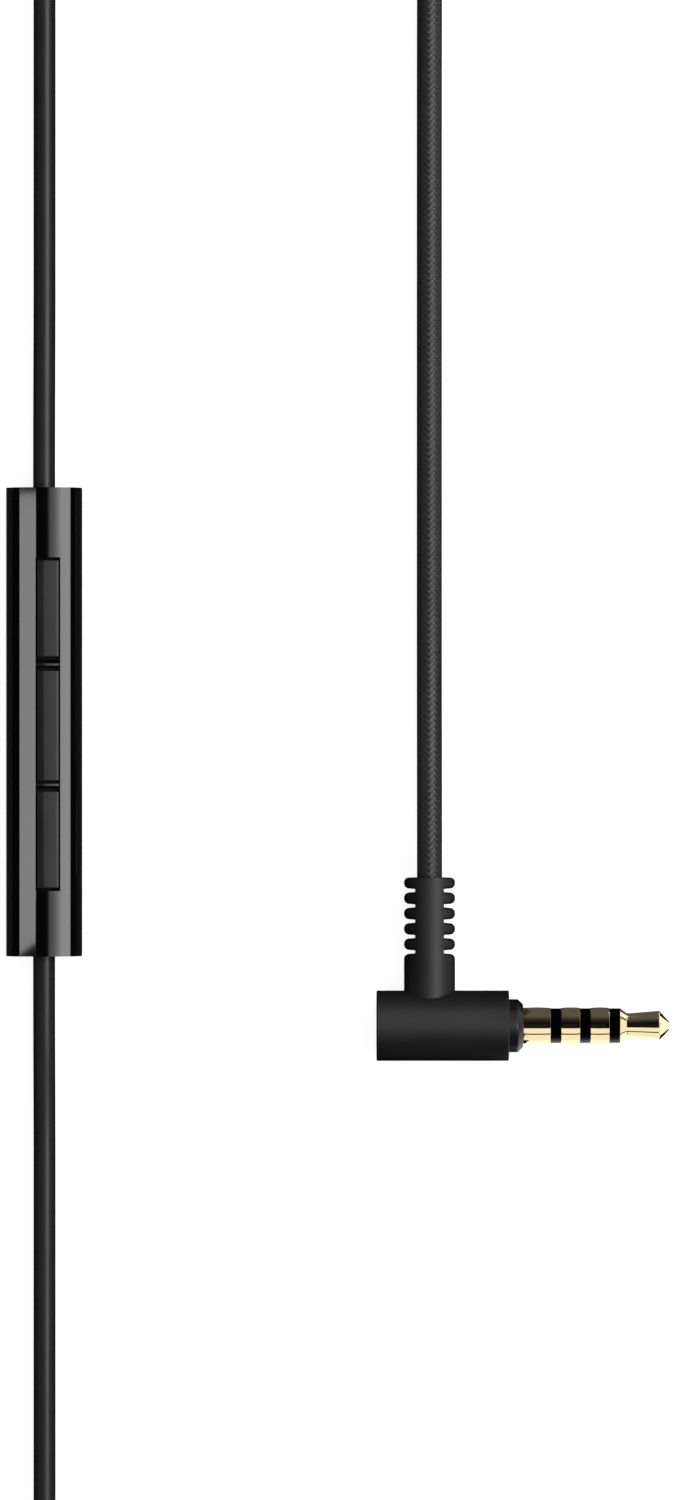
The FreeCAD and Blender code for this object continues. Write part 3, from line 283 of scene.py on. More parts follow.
# Share of a layer's winding in which the cord climbs to the next layer
LAYER_CLIMB = 0.12
MAIN_COIL = {
    "centre": (-0.0068, 0.0640), "outer": 0.0159, "inner": 0.0105, "low": 0.0016, "layers": 4,
    "diameter": MAIN_CORD_DIAMETER, "turns": 9.111, "layer_turns": 2.25, "start": 0.0, "direction": 1,
}
RIGHT_COIL = {
    "centre": (0.01395, 0.11725), "outer": 0.01325, "inner": 0.00985, "low": 0.00145, "layers": 2,
    "diameter": BRANCH_CORD_DIAMETER, "turns": 3.25, "layer_turns": 1.625, "start": QUARTER_TURN,
    "direction": -1,
}

# Ties of the coils, in millimetres
TIE_WIDTH = 4.0
TIE_THICKNESS = 0.35
TIE_GAP = 0.05
TIE_ROUND_STEPS = 32
TIE_RIM_ANGLE = math.radians(70)
# The faces of a tie that point along its cord by more than this are its open ends
CAP_FACING = 0.9
MAIN_TIE_ANGLE = math.radians(180)
RIGHT_TIE_ANGLE = math.radians(230)

# Camera and studio, in metres; the photograph is in pixels and the sensor in millimetres
PHOTO_HEIGHT = 1500
PHOTO_PIXELS_PER_METRE = 10500
VIEW_CENTRE = Vector((0.00039, -0.02807, 0.0025))
CAMERA_DISTANCE = 1.0
SENSOR_WIDTH = 36.0
FLOOR_REACH = 12.0
FLOOR_DROP = 0.00006
FLOOR_FADE = (0.2, 0.8)
STUDIO_HEIGHT = 0.6
STUDIO_Y = (-0.22, 0.76)
OVERHEAD_X = (-0.7, 0.7)
OVERHEAD_Y = (-0.75, 0.65)
OVERHEAD_HEIGHT = 1.4
# Share of the right panel's light in the first of its two steps
RAMP_STEP = 0.28
END_PANEL_DISTANCE = 1.3
END_PANEL_REACH = 2.5
END_PANEL_HEIGHTS = (0.12, 1.1)
NEAR_PANEL_HEIGHT = 0.06
NEAR_PANEL_MARGIN = 0.001
CARD_DROP = 0.00003
DARK_CARD_EDGES = (0.0182, 0.075)
DARK_CARD_MARGIN = 0.02
DARK_CARD_REACH = Vector((0.5, 0.6))
PIN_CARD_HEIGHT = 0.006
PIN_CARD_LEAD = 0.0015
PIN_EDGE_CARD_WIDTH = 0.0055
END_CARD_WIDTH = 0.048
# Cards round the pin: the stretch along the pin, the Y and Z spans in card heights from its axis, where
# None is the floor, and the face
PIN_CARDS = (
    ("white_card", "pin", (-1.0, -0.24), (1, 1), "white"),
    ("white_wall", "pin", (-3.0, -2.98), (None, 2), "white"),
    ("end_card", "beyond", (-5, 5), (1, 1), "white"),
    ("fading_card", "pin", (0.2, 6.0), (1, 1), "fading"),
    ("dim_wall", "pin", (6.0, 6.02), (None, 1), "dim"),
    ("dim_floor_card", "pin", (0, 6), (None, None), "dim"),
    ("upper_edge_card", "edge", (0.25, 0.9), (None, None), "black"),
    ("lower_edge_card", "edge", (-0.9, -0.25), (None, None), "black"),
)
# The fading card has its full light this many card heights beside the pin
FADE_HEIGHTS = 2

# Colours with full alpha
BLACK = (0.0, 0.0, 0.0, 1.0)
WHITE = (1.0, 1.0, 1.0, 1.0)
# Painted shade: the dark seen through the painted holes of the nozzles' steel mesh
HOLE_SHADE_BLACK = (0.01, 0.01, 0.01, 1.0)

# Moulded plastics and rubbers: the colour setting, roughness, grains to a metre, the grain's height in
# metres, and how strongly the surface bends light
MOULDED_FINISHES = {
    "satin_button": ("button_black", 0.30, 9000.0, 0.000002, 1.44),
    "soft_plug": ("plug_black", 0.55, 7000.0, 0.000003, 1.63),
    "collar_satin": ("plug_black", 0.38, 8000.0, 0.000001, 1.66),
    "insulator_resin": ("gloss_black", 0.40, 8000.0, 0.000001, 1.40),
    "splitter_satin": ("plug_black", 0.38, 6500.0, 0.000003, 1.50),
    "earpiece_satin": ("gloss_black", 0.20, 5000.0, 0.000001, 1.55),
    "relief_soft": ("plug_black", 0.55, 6000.0, 0.000004, 1.48),
    "inner_plastic_finish": ("plug_black", 0.50, 2500.0, 0.000004, 1.50),
    "diaphragm_film_finish": ("silicone", 0.30, 1800.0, 0.000004, 1.60),
}
# Bare metals: roughness, and fine lines to a metre along X, Y and Z
METAL_FINISHES = {
    "switch_steel_finish": (0.3, (4000.0, 90.0, 90.0)),
    "crimp_metal_finish": (0.35, (90.0, 4000.0, 90.0)),
    "driver_metal_finish": (0.4, (1500.0, 1500.0, 90.0)),
}
# Imported solids that stay as they are, by their finish
KEPT_NODES = {
    "switch_steel_finish": ["volume_up_switch", "centre_switch", "volume_down_switch", "remote_microphone"],
    "circuit_lacquer": ["remote_circuit_board"],
    "inner_plastic_finish": ["remote_upper_cord_grip", "remote_lower_cord_grip", "plug_core"],
    "crimp_metal_finish": ["splitter_crimp"],
    "driver_metal_finish": ["left_driver", "right_driver"],
    "diaphragm_film_finish": ["left_diaphragm", "right_diaphragm"],
    "perforated_steel": ["left_nozzle_mesh", "right_nozzle_mesh"],
}


# Making finishes


class Value:
    """A number that varies over a surface: sums written with it add Math nodes."""

    def __init__(self, finish, socket):
        self.finish = finish
        self.socket = socket

    def __add__(self, other):
        return self.finish.math("ADD", self, other)

    def __radd__(self, other):
        return self.finish.math("ADD", other, self)

    def __sub__(self, other):
        return self.finish.math("SUBTRACT", self, other)

    def __rsub__(self, other):
        return self.finish.math("SUBTRACT", other, self)

    def __mul__(self, other):
        return self.finish.math("MULTIPLY", self, other)

    def __pow__(self, other):
        return self.finish.math("POWER", self, other)

    def __abs__(self):
        return self.finish.math("ABSOLUTE", self)

    def sine(self):
        return self.finish.math("SINE", self)

    def smooth(self, low, high):
        """Return 0 below low, 1 above high and a smooth rise between them."""
        node = self.finish.node(
            "ShaderNodeMapRange",
            {"interpolation_type": "SMOOTHSTEP"},
            {"Value": self, "From Min": low, "From Max": high},
        )
        return Value(self.finish, node.outputs["Result"])


class Finish:
    """A material being made: one method adds each node, the others are short forms of it."""

    def __init__(self, name, **constants):
        self.material = bpy.data.materials.new(name)
        self.material.use_nodes = True
        self.nodes = self.material.node_tree.nodes
        self.links = self.material.node_tree.links
        self.nodes.clear()
        self.shader = self.node("ShaderNodeBsdfPrincipled")
        self.node("ShaderNodeOutputMaterial", {}, {"Surface": self.shader.outputs["BSDF"]})
        self.set(**constants)

    def node(self, kind, settings=None, inputs=None):
        """Add a node, then its settings, then the values or links of its sockets."""
        made = self.nodes.new(kind)
        for name, value in (settings or {}).items():
            if name == "stops":
                self.set_stops(made.color_ramp, value)
            else:
                setattr(made, name, value)
        for name, value in (inputs or {}).items():
            self.fill(made.inputs[name], value)
        return made

    def set_stops(self, ramp, stops):
        """Give a colour ramp its (place, colour) stops."""
        while len(ramp.elements) < len(stops):
            ramp.elements.new(1.0)
        for element, (place, colour) in zip(ramp.elements, stops):
            element.position = place
            element.color = colour

    def fill(self, socket, value):
        """Set a socket to a number or a colour, or link it."""
        if isinstance(value, Value):
            value = value.socket
        if isinstance(value, bpy.types.NodeSocket):
            self.links.new(value, socket)
        else:
            socket.default_value = value

    def set(self, **values):
        """Fill sockets of the surface shader, named in small letters with underscores."""
        for name, value in values.items():
            socket = name.replace("_", " ").title().replace("Ior", "IOR")
            self.fill(self.shader.inputs[socket], value)

    def math(self, operation, *terms):
        """Return the result of a Math node."""
        node = self.node("ShaderNodeMath", {"operation": operation}, dict(enumerate(terms)))
        return Value(self, node.outputs[0])

    def place(self, stretch=(1, 1, 1)):
        """Return the place on the object in metres, stretched along its axes."""
        coordinates = self.node("ShaderNodeTexCoord")
        return self.node("ShaderNodeMapping", {}, {
            "Vector": coordinates.outputs["Object"], "Scale": stretch,
        }).outputs["Vector"]

    def axis(self, name):
        """Return one coordinate of the place on the object, in metres."""
        split = self.node("ShaderNodeSeparateXYZ", {}, {"Vector": self.place()})
        return Value(self, split.outputs[name])

    def along_surface(self):
        """Return the piece's own map: share of a turn round it, and circumferences along it."""
        map_node = self.node("ShaderNodeUVMap", {"uv_map": "UVMap"})
        split = self.node("ShaderNodeSeparateXYZ", {}, {"Vector": map_node.outputs["UV"]})
        return Value(self, split.outputs["X"]), Value(self, split.outputs["Y"])

    def noise(self, scale, detail=2.0, stretch=(1, 1, 1)):
        """Return a noise from 0 to 1 with so many features to a metre."""
        node = self.node("ShaderNodeTexNoise", {}, {
            "Vector": self.place(stretch), "Scale": scale, "Detail": detail, "Roughness": 0.6,
        })
        return Value(self, node.outputs["Fac"])

    def edges(self):
        """Return 1 on sharp outer edges and 0 elsewhere."""
        geometry = self.node("ShaderNodeNewGeometry")
        return Value(self, geometry.outputs["Pointiness"]).smooth(0.52, 0.60)

    def mixed(self, share, first, second):
        """Return a colour between two colours."""
        node = self.node("ShaderNodeMix", {"data_type": "RGBA"}, {0: share, 6: first, 7: second})
        return node.outputs[2]

    def tones(self, share, colour, darker, lighter):
        """Return a colour between a darker and a lighter tone of one colour."""
        return self.mixed(share, shade(colour, darker), shade(colour, lighter))

    def bumped(self, height, distance, strength=1.0):
        """Raise the surface by a height from 0 to 1 times a distance in metres."""
        node = self.node("ShaderNodeBump", {}, {
            "Height": height, "Distance": distance, "Strength": strength,
        })
        self.set(normal=node.outputs["Normal"])


def shade(colour, factor):
    """Return a colour made lighter or darker, with full alpha."""
    return tuple(channel * factor for channel in colour[:3]) + (1.0,)


# The finishes of the earphones


def moulded_plastic(name, colour, roughness, grain, grain_height, ior):
    """Return a moulded plastic or rubber: fine grain, faint mottling and rubbed edges."""
    finish = Finish(name, ior=ior)
    fine = finish.noise(grain, detail=3.0)
    mottle = finish.noise(260.0, detail=4.0)
    rubbed = finish.edges()
    body = finish.tones(mottle.smooth(0.3, 0.7), colour, 0.86, 1.14)
    finish.set(
        base_color=finish.mixed(rubbed * 0.5, body, shade(colour, 1.7)),
        roughness=roughness + (mottle - 0.5) * 0.10 + (fine - 0.5) * 0.06 - rubbed * 0.05,
    )
    finish.bumped(fine, distance=grain_height)
    return finish.material


def brushed_metal(name, colour, roughness, stretch):
    """Return a bare metal with fine lines along one way."""
    finish = Finish(name, metallic=1.0)
    lines = finish.noise(1.0, detail=3.0, stretch=stretch)
    finish.set(base_color=finish.tones(lines, colour, 0.85, 1.1), roughness=roughness + lines * 0.12)
    finish.bumped(lines, distance=0.000001)
    return finish.material


def gloss_casing(colours):
    """Return the remote's glossy black casing, with faint lines drawn along it."""
    finish = Finish("gloss_casing", ior=1.6)
    drawn = finish.noise(1.0, detail=2.0, stretch=(2600.0, 14.0, 2600.0))
    smears = finish.noise(180.0, detail=3.0)
    finish.set(
        base_color=finish.tones(smears, colours.gloss_black, 0.8, 1.2),
        roughness=0.055 + smears.smooth(0.45, 0.8) * 0.03 + (drawn - 0.5) * 0.02,
    )
    finish.bumped(drawn, distance=0.0000006)
    return finish.material


def tip_silicone(colours):
    """Return the ear tips' silicone, with light passing a little way in."""
    finish = Finish("ear_tip_silicone", ior=1.42, subsurface_weight=0.25, subsurface_scale=0.0008,
                    sheen_weight=0.2)
    dust = finish.noise(2400.0, detail=4.0)
    tone = finish.noise(300.0, detail=2.0)
    finish.set(base_color=finish.tones(tone, colours.silicone, 0.85, 1.2), roughness=0.45 + dust * 0.18)
    finish.bumped(dust, distance=0.000003)
    return finish.material


def tie_weave(colours):
    """Return the woven band of the cord ties."""
    finish = Finish("tie_weave", ior=1.45, sheen_weight=0.3)
    x, y, z = (finish.axis(name) for name in ("X", "Y", "Z"))
    warp = abs((x * 5200.0 + y * 3100.0).sine())
    weft = abs((z * 5200.0 + y * 4100.0 - x * 1700.0).sine())
    weave = warp * 0.6 + weft * 0.4
    # The band is painted darker in the weave's low places and lighter on its raised threads: painted shade
    # and painted highlight.
    finish.set(base_color=finish.tones(weave, colours.sleeve_black, 0.6, 2.2), roughness=0.75 - weave * 0.15)
    finish.bumped(weave, distance=0.00003)
    return finish.material


def smooth_sleeve(colours):
    """Return the smooth sleeve of the branch cords, with faint lines along it from its drawing."""
    finish = Finish("smooth_cord_sleeve", ior=1.5)
    around, along = finish.along_surface()
    lines = finish.node("ShaderNodeCombineXYZ", {}, {"X": around * 60.0, "Y": along * 0.6})
    drawn = Value(finish, finish.node("ShaderNodeTexNoise", {}, {
        "Vector": lines.outputs["Vector"], "Scale": 1.0, "Detail": 3.0,
    }).outputs["Fac"])
    grain = finish.noise(5200.0, detail=2.0)
    tone = finish.noise(90.0, detail=3.0)
    finish.set(
        base_color=finish.tones(tone, colours.smooth_black, 0.82, 1.18),
        roughness=0.40 + (drawn - 0.5) * 0.12 + (grain - 0.5) * 0.08,
    )
    finish.bumped(drawn * 0.7 + grain * 0.3, distance=0.000006)
    return finish.material


def braided_sleeve(colours, sizes):
    """Return the braided sleeve of the main cord: two sets of yarns that cross over and under."""
    finish = Finish("braided_cord_sleeve", ior=1.6, sheen_weight=0.05, sheen_roughness=0.4)
    around, along = finish.along_surface()
    # Half a wave to each yarn round the cord, and to each row along it
    across = around * (sizes.braid_yarns * math.pi)
    onward = along * (math.pi * MAIN_CORD_DIAMETER / sizes.braid_row * math.pi)
    wander = (finish.noise(700.0, detail=2.0) - 0.5) * 0.35
    right = (across + onward + wander).sine()
    left = (across - onward + wander).sine()
    over = (right * left).smooth(-0.08, 0.08)
    height = over * abs(right) + (1 - over) * abs(left)
    fibres = finish.noise(9000.0, detail=3.0)
    patches = finish.noise(420.0, detail=3.0)
    yarn = finish.tones(patches, colours.sleeve_black, 0.7, 1.5)
    # The low places between the yarns are painted much darker than the yarns: painted shade in the weave's
    # hollows.
    finish.set(
        base_color=finish.mixed(height.smooth(0.1, 0.75), shade(colours.sleeve_black, 0.25), yarn),
        roughness=0.50 - height * 0.12 + (fibres - 0.5) * 0.16,
    )
    finish.bumped(height * 0.85 + fibres * 0.15, distance=0.00005, strength=0.8)
    return finish.material


def gold_plate(colours):
    """Return gold plate with fine rings from turning."""
    finish = Finish("gold_contact", metallic=1.0)
    rings = finish.noise(1.0, detail=3.0, stretch=(9000.0, 60.0, 60.0))
    tone = finish.noise(500.0, detail=2.0)
    finish.set(
        base_color=finish.tones(tone, colours.gold, 0.96, 1.0),
        roughness=0.06 + rings * 0.03 + tone.smooth(0.5, 0.8) * 0.03,
    )
    finish.bumped(rings, distance=0.0000005)
    return finish.material


def perforated_steel(colours):
    """Return the nozzles' steel mesh, with rows of round holes painted black as painted shade."""
    finish = Finish("perforated_steel", metallic=1.0)
    cells = finish.node("ShaderNodeTexVoronoi", {}, {
        "Vector": finish.place(), "Scale": 2600.0, "Randomness": 0.15,
    })
    hole = 1 - Value(finish, cells.outputs["Distance"]).smooth(0.26, 0.34)
    # The holes are painted black, as painted shade of the dark inside behind them.
    finish.set(
        base_color=finish.mixed(hole, shade(colours.steel, 1.0), HOLE_SHADE_BLACK),
        metallic=1 - hole,
        roughness=0.3 + hole * 0.4,
    )
    finish.bumped(1 - hole, distance=0.00005)
    return finish.material


def circuit_board(colours):
    """Return the board's near-black lacquer over faint copper tracks."""
    finish = Finish("circuit_lacquer", ior=1.5, coat_roughness=0.15)
    tracks = finish.node("ShaderNodeTexBrick", {"offset": 0.5}, {
        "Vector": finish.place(), "Scale": 420.0, "Mortar Size": 0.03,
    })
    line = Value(finish, tracks.outputs["Fac"])
    grain = finish.noise(3000.0, detail=2.0)
    finish.set(
        base_color=finish.tones(line, colours.board, 0.8, 2.0),
        roughness=0.3 + grain * 0.1,
        coat_weight=0.4 - line * 0.2,
    )
    finish.bumped(line, distance=0.00001)
    return finish.material


MATERIALS = {}


def finish_named(name):
    """Return a finish by name: all of them are made when the first is asked for."""
    if not MATERIALS:
        scene = bpy.context.scene
        colours = scene.earphone_colours
        made = [make(colours) for make in (gloss_casing, gold_plate, tip_silicone, tie_weave, smooth_sleeve,
                                           perforated_steel, circuit_board)]
        made.append(braided_sleeve(colours, scene.earphone_sizes))
        made += [moulded_plastic(finish, getattr(colours, colour), *recipe)
                 for finish, (colour, *recipe) in MOULDED_FINISHES.items()]
        made += [brushed_metal(finish, colours.steel, *recipe) for finish, recipe in METAL_FINISHES.items()]
        MATERIALS.update((material.name, material) for material in made)
    return MATERIALS[name]


# Shaping in general


def rounded(corners, steps=ROUND_STEPS):
    """Return an outline's (u, v) points with its (u, v, rounding) corners rounded.

    A rounding is the length that it takes from each side, and a corner may give its own steps after it.
    """
    sketch = bmesh.new()
    verts = [sketch.verts.new((corner[0], corner[1], 0)) for corner in corners]
    sketch.faces.new(verts)
    for vert, corner in zip(verts, corners):
        if corner[2] > 0:
            bmesh.ops.bevel(sketch, geom=[vert], offset=corner[2], offset_type="OFFSET",
                            segments=corner[3] if len(corner) > 3 else steps, profile=0.5,
                            affect="VERTICES", material=-1)
    sketch.faces.ensure_lookup_table()
    points = [(vert.co.x, vert.co.y) for vert in sketch.faces[0].verts]
    sketch.free()
    return points


def tangent_length(radius, turn):
    """Return the length that an arc of a radius takes from each side of a corner."""
    return radius * math.tan(turn / 2)


def drawn_out(bm, faces, along):
    """Extrude faces along a vector."""
    made = bmesh.ops.extrude_face_region(bm, geom=faces)["geom"]
    bmesh.ops.translate(bm, vec=along, verts=[item for item in made if isinstance(item, bmesh.types.BMVert)])


def pulled(bm, outline, place, along):
    """Add a solid: an outline of (u, v) points drawn along a vector."""
    drawn_out(bm, [bm.faces.new([bm.verts.new(place(u, v)) for u, v in outline])], along)


def spun(bm, corners, start, axis):
    """Add a solid turned about a level axis from (along, radius, rounding) corners."""
    outline = rounded([corner if len(corner) > 2 else corner + (0,) for corner in corners])
    verts = [bm.verts.new(start + axis * along + Z_AXIS * radius) for along, radius in outline]
    edges = []
    for index, vert in enumerate(verts):
        following = (index + 1) % len(verts)
        if max(outline[index][1], outline[following][1]) > ON_AXIS:
            edges.append(bm.edges.new((vert, verts[following])))
    bmesh.ops.spin(bm, geom=verts + edges, cent=start, axis=axis, dvec=(0, 0, 0), angle=math.tau,
                   steps=TURN_STEPS, use_merge=True, use_duplicate=False)


def cut_across(bm, point, normal):
    """Cut every face along a plane and keep both sides."""
    everything = bm.verts[:] + bm.edges[:] + bm.faces[:]
    bmesh.ops.bisect_plane(bm, geom=everything, dist=SAME_POINT, plane_co=point, plane_no=normal)


def soften(bm, edges, rounding, steps=SOFT_STEPS):
    """Round edges over."""
    bmesh.ops.bevel(bm, geom=edges, offset=rounding, offset_type="OFFSET", segments=steps, profile=0.5,
                    affect="EDGES", material=-1, clamp_overlap=True)


def edges_at(bm, test):
    """Return the edges whose two ends both pass a test."""
    return [edge for edge in bm.edges if all(test(vert.co) for vert in edge.verts)]


def near(value, target):
    """Return whether two lengths are the same."""
    return abs(value - target) < NEAR_POINT


def piece(bm, name, finish, replaces=(), body="base"):
    """Finish a piece: close it, point its faces outwards, bring it to metres and set it on its body."""
    bmesh.ops.remove_doubles(bm, verts=bm.verts[:], dist=MERGE_DISTANCE)
    bmesh.ops.recalc_face_normals(bm, faces=bm.faces[:])
    bmesh.ops.scale(bm, vec=(MM, MM, MM), verts=bm.verts[:])
    mesh = bpy.data.meshes.new(name)
    bm.to_mesh(mesh)
    bm.free()
    set_down(mesh, name, finish, replaces, body)


def set_down(mesh, name, finish, replaces, body="base", crease=CREASE_ANGLE):
    """Make an object of a finished mesh, and say what it rides on, replaces and is made of."""
    mesh.shade_smooth()
    mesh.set_sharp_from_angle(angle=crease)
    mesh.materials.clear()
    mesh.materials.append(finish_named(finish))
    made = bpy.data.objects.new(name, mesh)
    bpy.context.scene.collection.objects.link(made)
    made.modifiers.new("flat_faces", "WEIGHTED_NORMAL").keep_sharp = True
    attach(made, body)
    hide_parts(*replaces)
    return made


def turned_piece(name, finish, replaces, corners, start, axis):
    """Make a piece of one turned solid."""
    bm = bmesh.new()
    spun(bm, corners, start, axis)
    piece(bm, name, finish, replaces)


# The remote


def crown_height(u):
    """Return how high the remote's curved front lies at a distance from its centre line."""
    centre_u = RIDGE_OFFSET - CROWN_RADIUS * math.sin(CROWN_START_TILT)
    centre_z = REMOTE_TOP - CROWN_RADIUS * math.cos(CROWN_START_TILT)
    return centre_z + math.sqrt(CROWN_RADIUS ** 2 - (u - centre_u) ** 2)


def crown_bar(bm, across, along, bottom, recess):
    """Add a bar whose top follows the crown in three facets, about the remote's centre line."""
    facet = across[1] - BUTTON_EDGE_FACET
    outline = rounded([
        (across[0], bottom, 0),
        (across[1], bottom, 0),
        (across[1], crown_height(across[1]) - recess - BUTTON_EDGE_DROP, 0),
        (facet, crown_height(facet) - recess, 0),
        (BUTTON_CREASE, crown_height(BUTTON_CREASE) - recess, BUTTON_CREASE_ROUNDING),
        (across[0], crown_height(across[0]) - recess, 0),
    ])
    pulled(bm, outline, lambda u, z: Vector((REMOTE_X + u, along[0], z)), Y_AXIS * (along[1] - along[0]))


def button_span(name):
    """Return the span of a button's cap along Y, which is shorter than its flange."""
    low, high = box_mm(name)
    return low.y + BUTTON_END_GAP, high.y - BUTTON_END_GAP


def pocket_span():
    """Return the pocket's span across the remote, from its centre line, and its span along Y."""
    half = BUTTON_WIDTH / 2 + BUTTON_SIDE_GAP
    return ((POCKET_OFFSET - half, POCKET_OFFSET + half),
            (button_span("volume_down_button")[0] - BUTTON_END_GAP,
             button_span("volume_up_button")[1] + BUTTON_END_GAP))


def front_cover_outline():
    """Return the front cover's section as (u, z) points: a facet, a ridge, a crown and a facet."""
    crown_u = RIDGE_OFFSET + CROWN_REACH * math.cos(CROWN_START_TILT)
    crown_z = REMOTE_TOP - CROWN_REACH * math.sin(CROWN_START_TILT)
    left_z = REMOTE_TOP - (RIDGE_OFFSET + REMOTE_HALF_WIDTH) * math.tan(LEFT_FACET_TILT)
    right_z = crown_z - (REMOTE_HALF_WIDTH - crown_u) * math.tan(RIGHT_FACET_TILT)
    left_rounding = tangent_length(LEFT_SHOULDER_RADIUS, QUARTER_TURN - LEFT_FACET_TILT)
    right_rounding = tangent_length(RIGHT_SHOULDER_RADIUS, QUARTER_TURN - RIGHT_FACET_TILT)
    return rounded([
        (-REMOTE_HALF_WIDTH, REMOTE_SPLIT, 0),
        (REMOTE_HALF_WIDTH, REMOTE_SPLIT, 0),
        (REMOTE_HALF_WIDTH, right_z, right_rounding, SHOULDER_STEPS),
        (crown_u, crown_z, CROWN_REACH, CROWN_STEPS),
        (RIDGE_OFFSET, REMOTE_TOP, RIDGE_ROUNDING, SOFT_STEPS),
        (-REMOTE_HALF_WIDTH, left_z, left_rounding, SHOULDER_STEPS),
    ])


def hollowed_half(outline, floor_z):
    """Return one half of the remote's casing, hollowed from the seam to a height."""
    bm = bmesh.new()
    length = REMOTE_HIGH.y - REMOTE_LOW.y
    pulled(bm, outline, lambda u, z: Vector((REMOTE_X + u, REMOTE_LOW.y, z)), Y_AXIS * length)
    rims = [edge for end in (REMOTE_LOW.y, REMOTE_HIGH.y)
            for edge in edges_at(bm, lambda co: near(co.y, end))]
    soften(bm, rims, REMOTE_END_ROUNDING, REMOTE_END_STEPS)
    seam = [face for face in bm.faces if all(near(vert.co.z, REMOTE_SPLIT) for vert in face.verts)]
    bmesh.ops.inset_region(bm, faces=seam, thickness=REMOTE_WALL, use_even_offset=True)
    drawn_out(bm, seam, Z_AXIS * (floor_z - REMOTE_SPLIT))
    bmesh.ops.delete(bm, geom=seam, context="FACES_ONLY")
    return bm


def remote_front_cover():
    """Make the front cover, with the pocket for the buttons."""
    bm = hollowed_half(front_cover_outline(), CAVITY_CEILING)
    across, along = pocket_span()
    for u in across:
        cut_across(bm, (REMOTE_X + u, 0, 0), X_AXIS)
    for y in along:
        cut_across(bm, (0, y, 0), Y_AXIS)

    def over_pocket(point, margin=0.0):
        return (across[0] - margin < point.x - REMOTE_X < across[1] + margin
                and along[0] - margin < point.y < along[1] + margin)

    def in_pocket(point):
        return over_pocket(point) and point.z > REMOTE_SPLIT + SAME_POINT

    def on_rim(edge):
        return (edge.is_manifold and edge.calc_face_angle() > RIM_ANGLE
                and all(vert.co.z > CAVITY_CEILING + SAME_POINT and over_pocket(vert.co, 2 * NEAR_POINT)
                        for vert in edge.verts))

    over = [face for face in bm.faces if in_pocket(face.calc_center_median())]
    bmesh.ops.delete(bm, geom=over, context="FACES")
    bmesh.ops.bridge_loops(bm, edges=[edge for edge in bm.edges if edge.is_boundary])
    soften(bm, [edge for edge in bm.edges if on_rim(edge)], POCKET_RIM_ROUNDING)
    piece(bm, "remote_front_cover", "gloss_casing", ["remote_front_shell"])


def remote_back_cover():
    """Make the back cover of the remote."""
    outline = rounded([
        (-REMOTE_HALF_WIDTH, REMOTE_SPLIT, 0),
        (-REMOTE_HALF_WIDTH, 0, BACK_CORNER_RADIUS, SHOULDER_STEPS),
        (REMOTE_HALF_WIDTH, 0, BACK_CORNER_RADIUS, SHOULDER_STEPS),
        (REMOTE_HALF_WIDTH, REMOTE_SPLIT, 0),
    ])
    piece(hollowed_half(outline, REMOTE_WALL), "remote_back_cover", "gloss_casing", ["remote_back_shell"])


def remote_pocket_ribs():
    """Make the two thin ribs across the pocket, between the buttons."""
    bm = bmesh.new()
    reach = BUTTON_WIDTH / 2 + BUTTON_SIDE_GAP + POCKET_RIM_ROUNDING
    across = (POCKET_OFFSET - reach, POCKET_OFFSET + reach)
    bottom = crown_height(across[1]) - RIB_RECESS - RIB_DEPTH
    low, high = button_span("centre_button")
    for middle in (high + UPPER_RIB_DISTANCE, low - LOWER_RIB_DISTANCE):
        crown_bar(bm, across, (middle - RIB_THICKNESS / 2, middle + RIB_THICKNESS / 2), bottom, RIB_RECESS)
    piece(bm, "remote_pocket_ribs", "satin_button")


def button_key(name):
    """Make one button: a cap that follows the crown, and the flange that keeps it in."""
    body = name + "_button"
    low, high = box_mm(body)
    bm = bmesh.new()
    across = (POCKET_OFFSET - BUTTON_WIDTH / 2, POCKET_OFFSET + BUTTON_WIDTH / 2)
    flange_top = CAVITY_CEILING - BUTTON_SIDE_GAP
    crown_bar(bm, across, button_span(body), flange_top - BUTTON_FLANGE_THICKNESS, BUTTON_RECESS)
    rim = [edge for edge in bm.edges
           if edge.calc_face_angle() > RIM_ANGLE and min(vert.co.z for vert in edge.verts) > flange_top]
    soften(bm, rim, BUTTON_EDGE_ROUNDING, BUTTON_EDGE_STEPS)
    flange = [(low.x, low.y), (high.x, low.y), (high.x, high.y), (low.x, high.y)]
    pulled(bm, flange, lambda x, y: Vector((x, y, flange_top)), Z_AXIS * -BUTTON_FLANGE_THICKNESS)
    piece(bm, name + "_key", "satin_button", [body], body=body)


# The plug and its strain relief


def relief_outline():
    """Return the plan of the relief's side plates as (u, v) points: fins above a plain block."""
    right = []
    fin_top = PLUG_HIGH.y - PLUG_Y
    for _ in range(SLOT_COUNT):
        slot_bottom = fin_top - SLOT_PITCH
        slot_top = slot_bottom + SLOT_WIDTH
        right += [
            (FIN_REACH, fin_top, FIN_CORNER_ROUNDING),
            (FIN_REACH, slot_top, FIN_CORNER_ROUNDING),
            (WEB_HALF_WIDTH, slot_top - SLOT_TAPER, SLOT_CORNER_ROUNDING),
            (WEB_HALF_WIDTH, slot_bottom + SLOT_TAPER, SLOT_CORNER_ROUNDING),
        ]
        fin_top = slot_bottom
    right += [(FIN_REACH, fin_top, FIN_CORNER_ROUNDING), (FIN_REACH, 0, 0)]
    return rounded(right + [(-u, v, rounding) for u, v, rounding in reversed(right)])


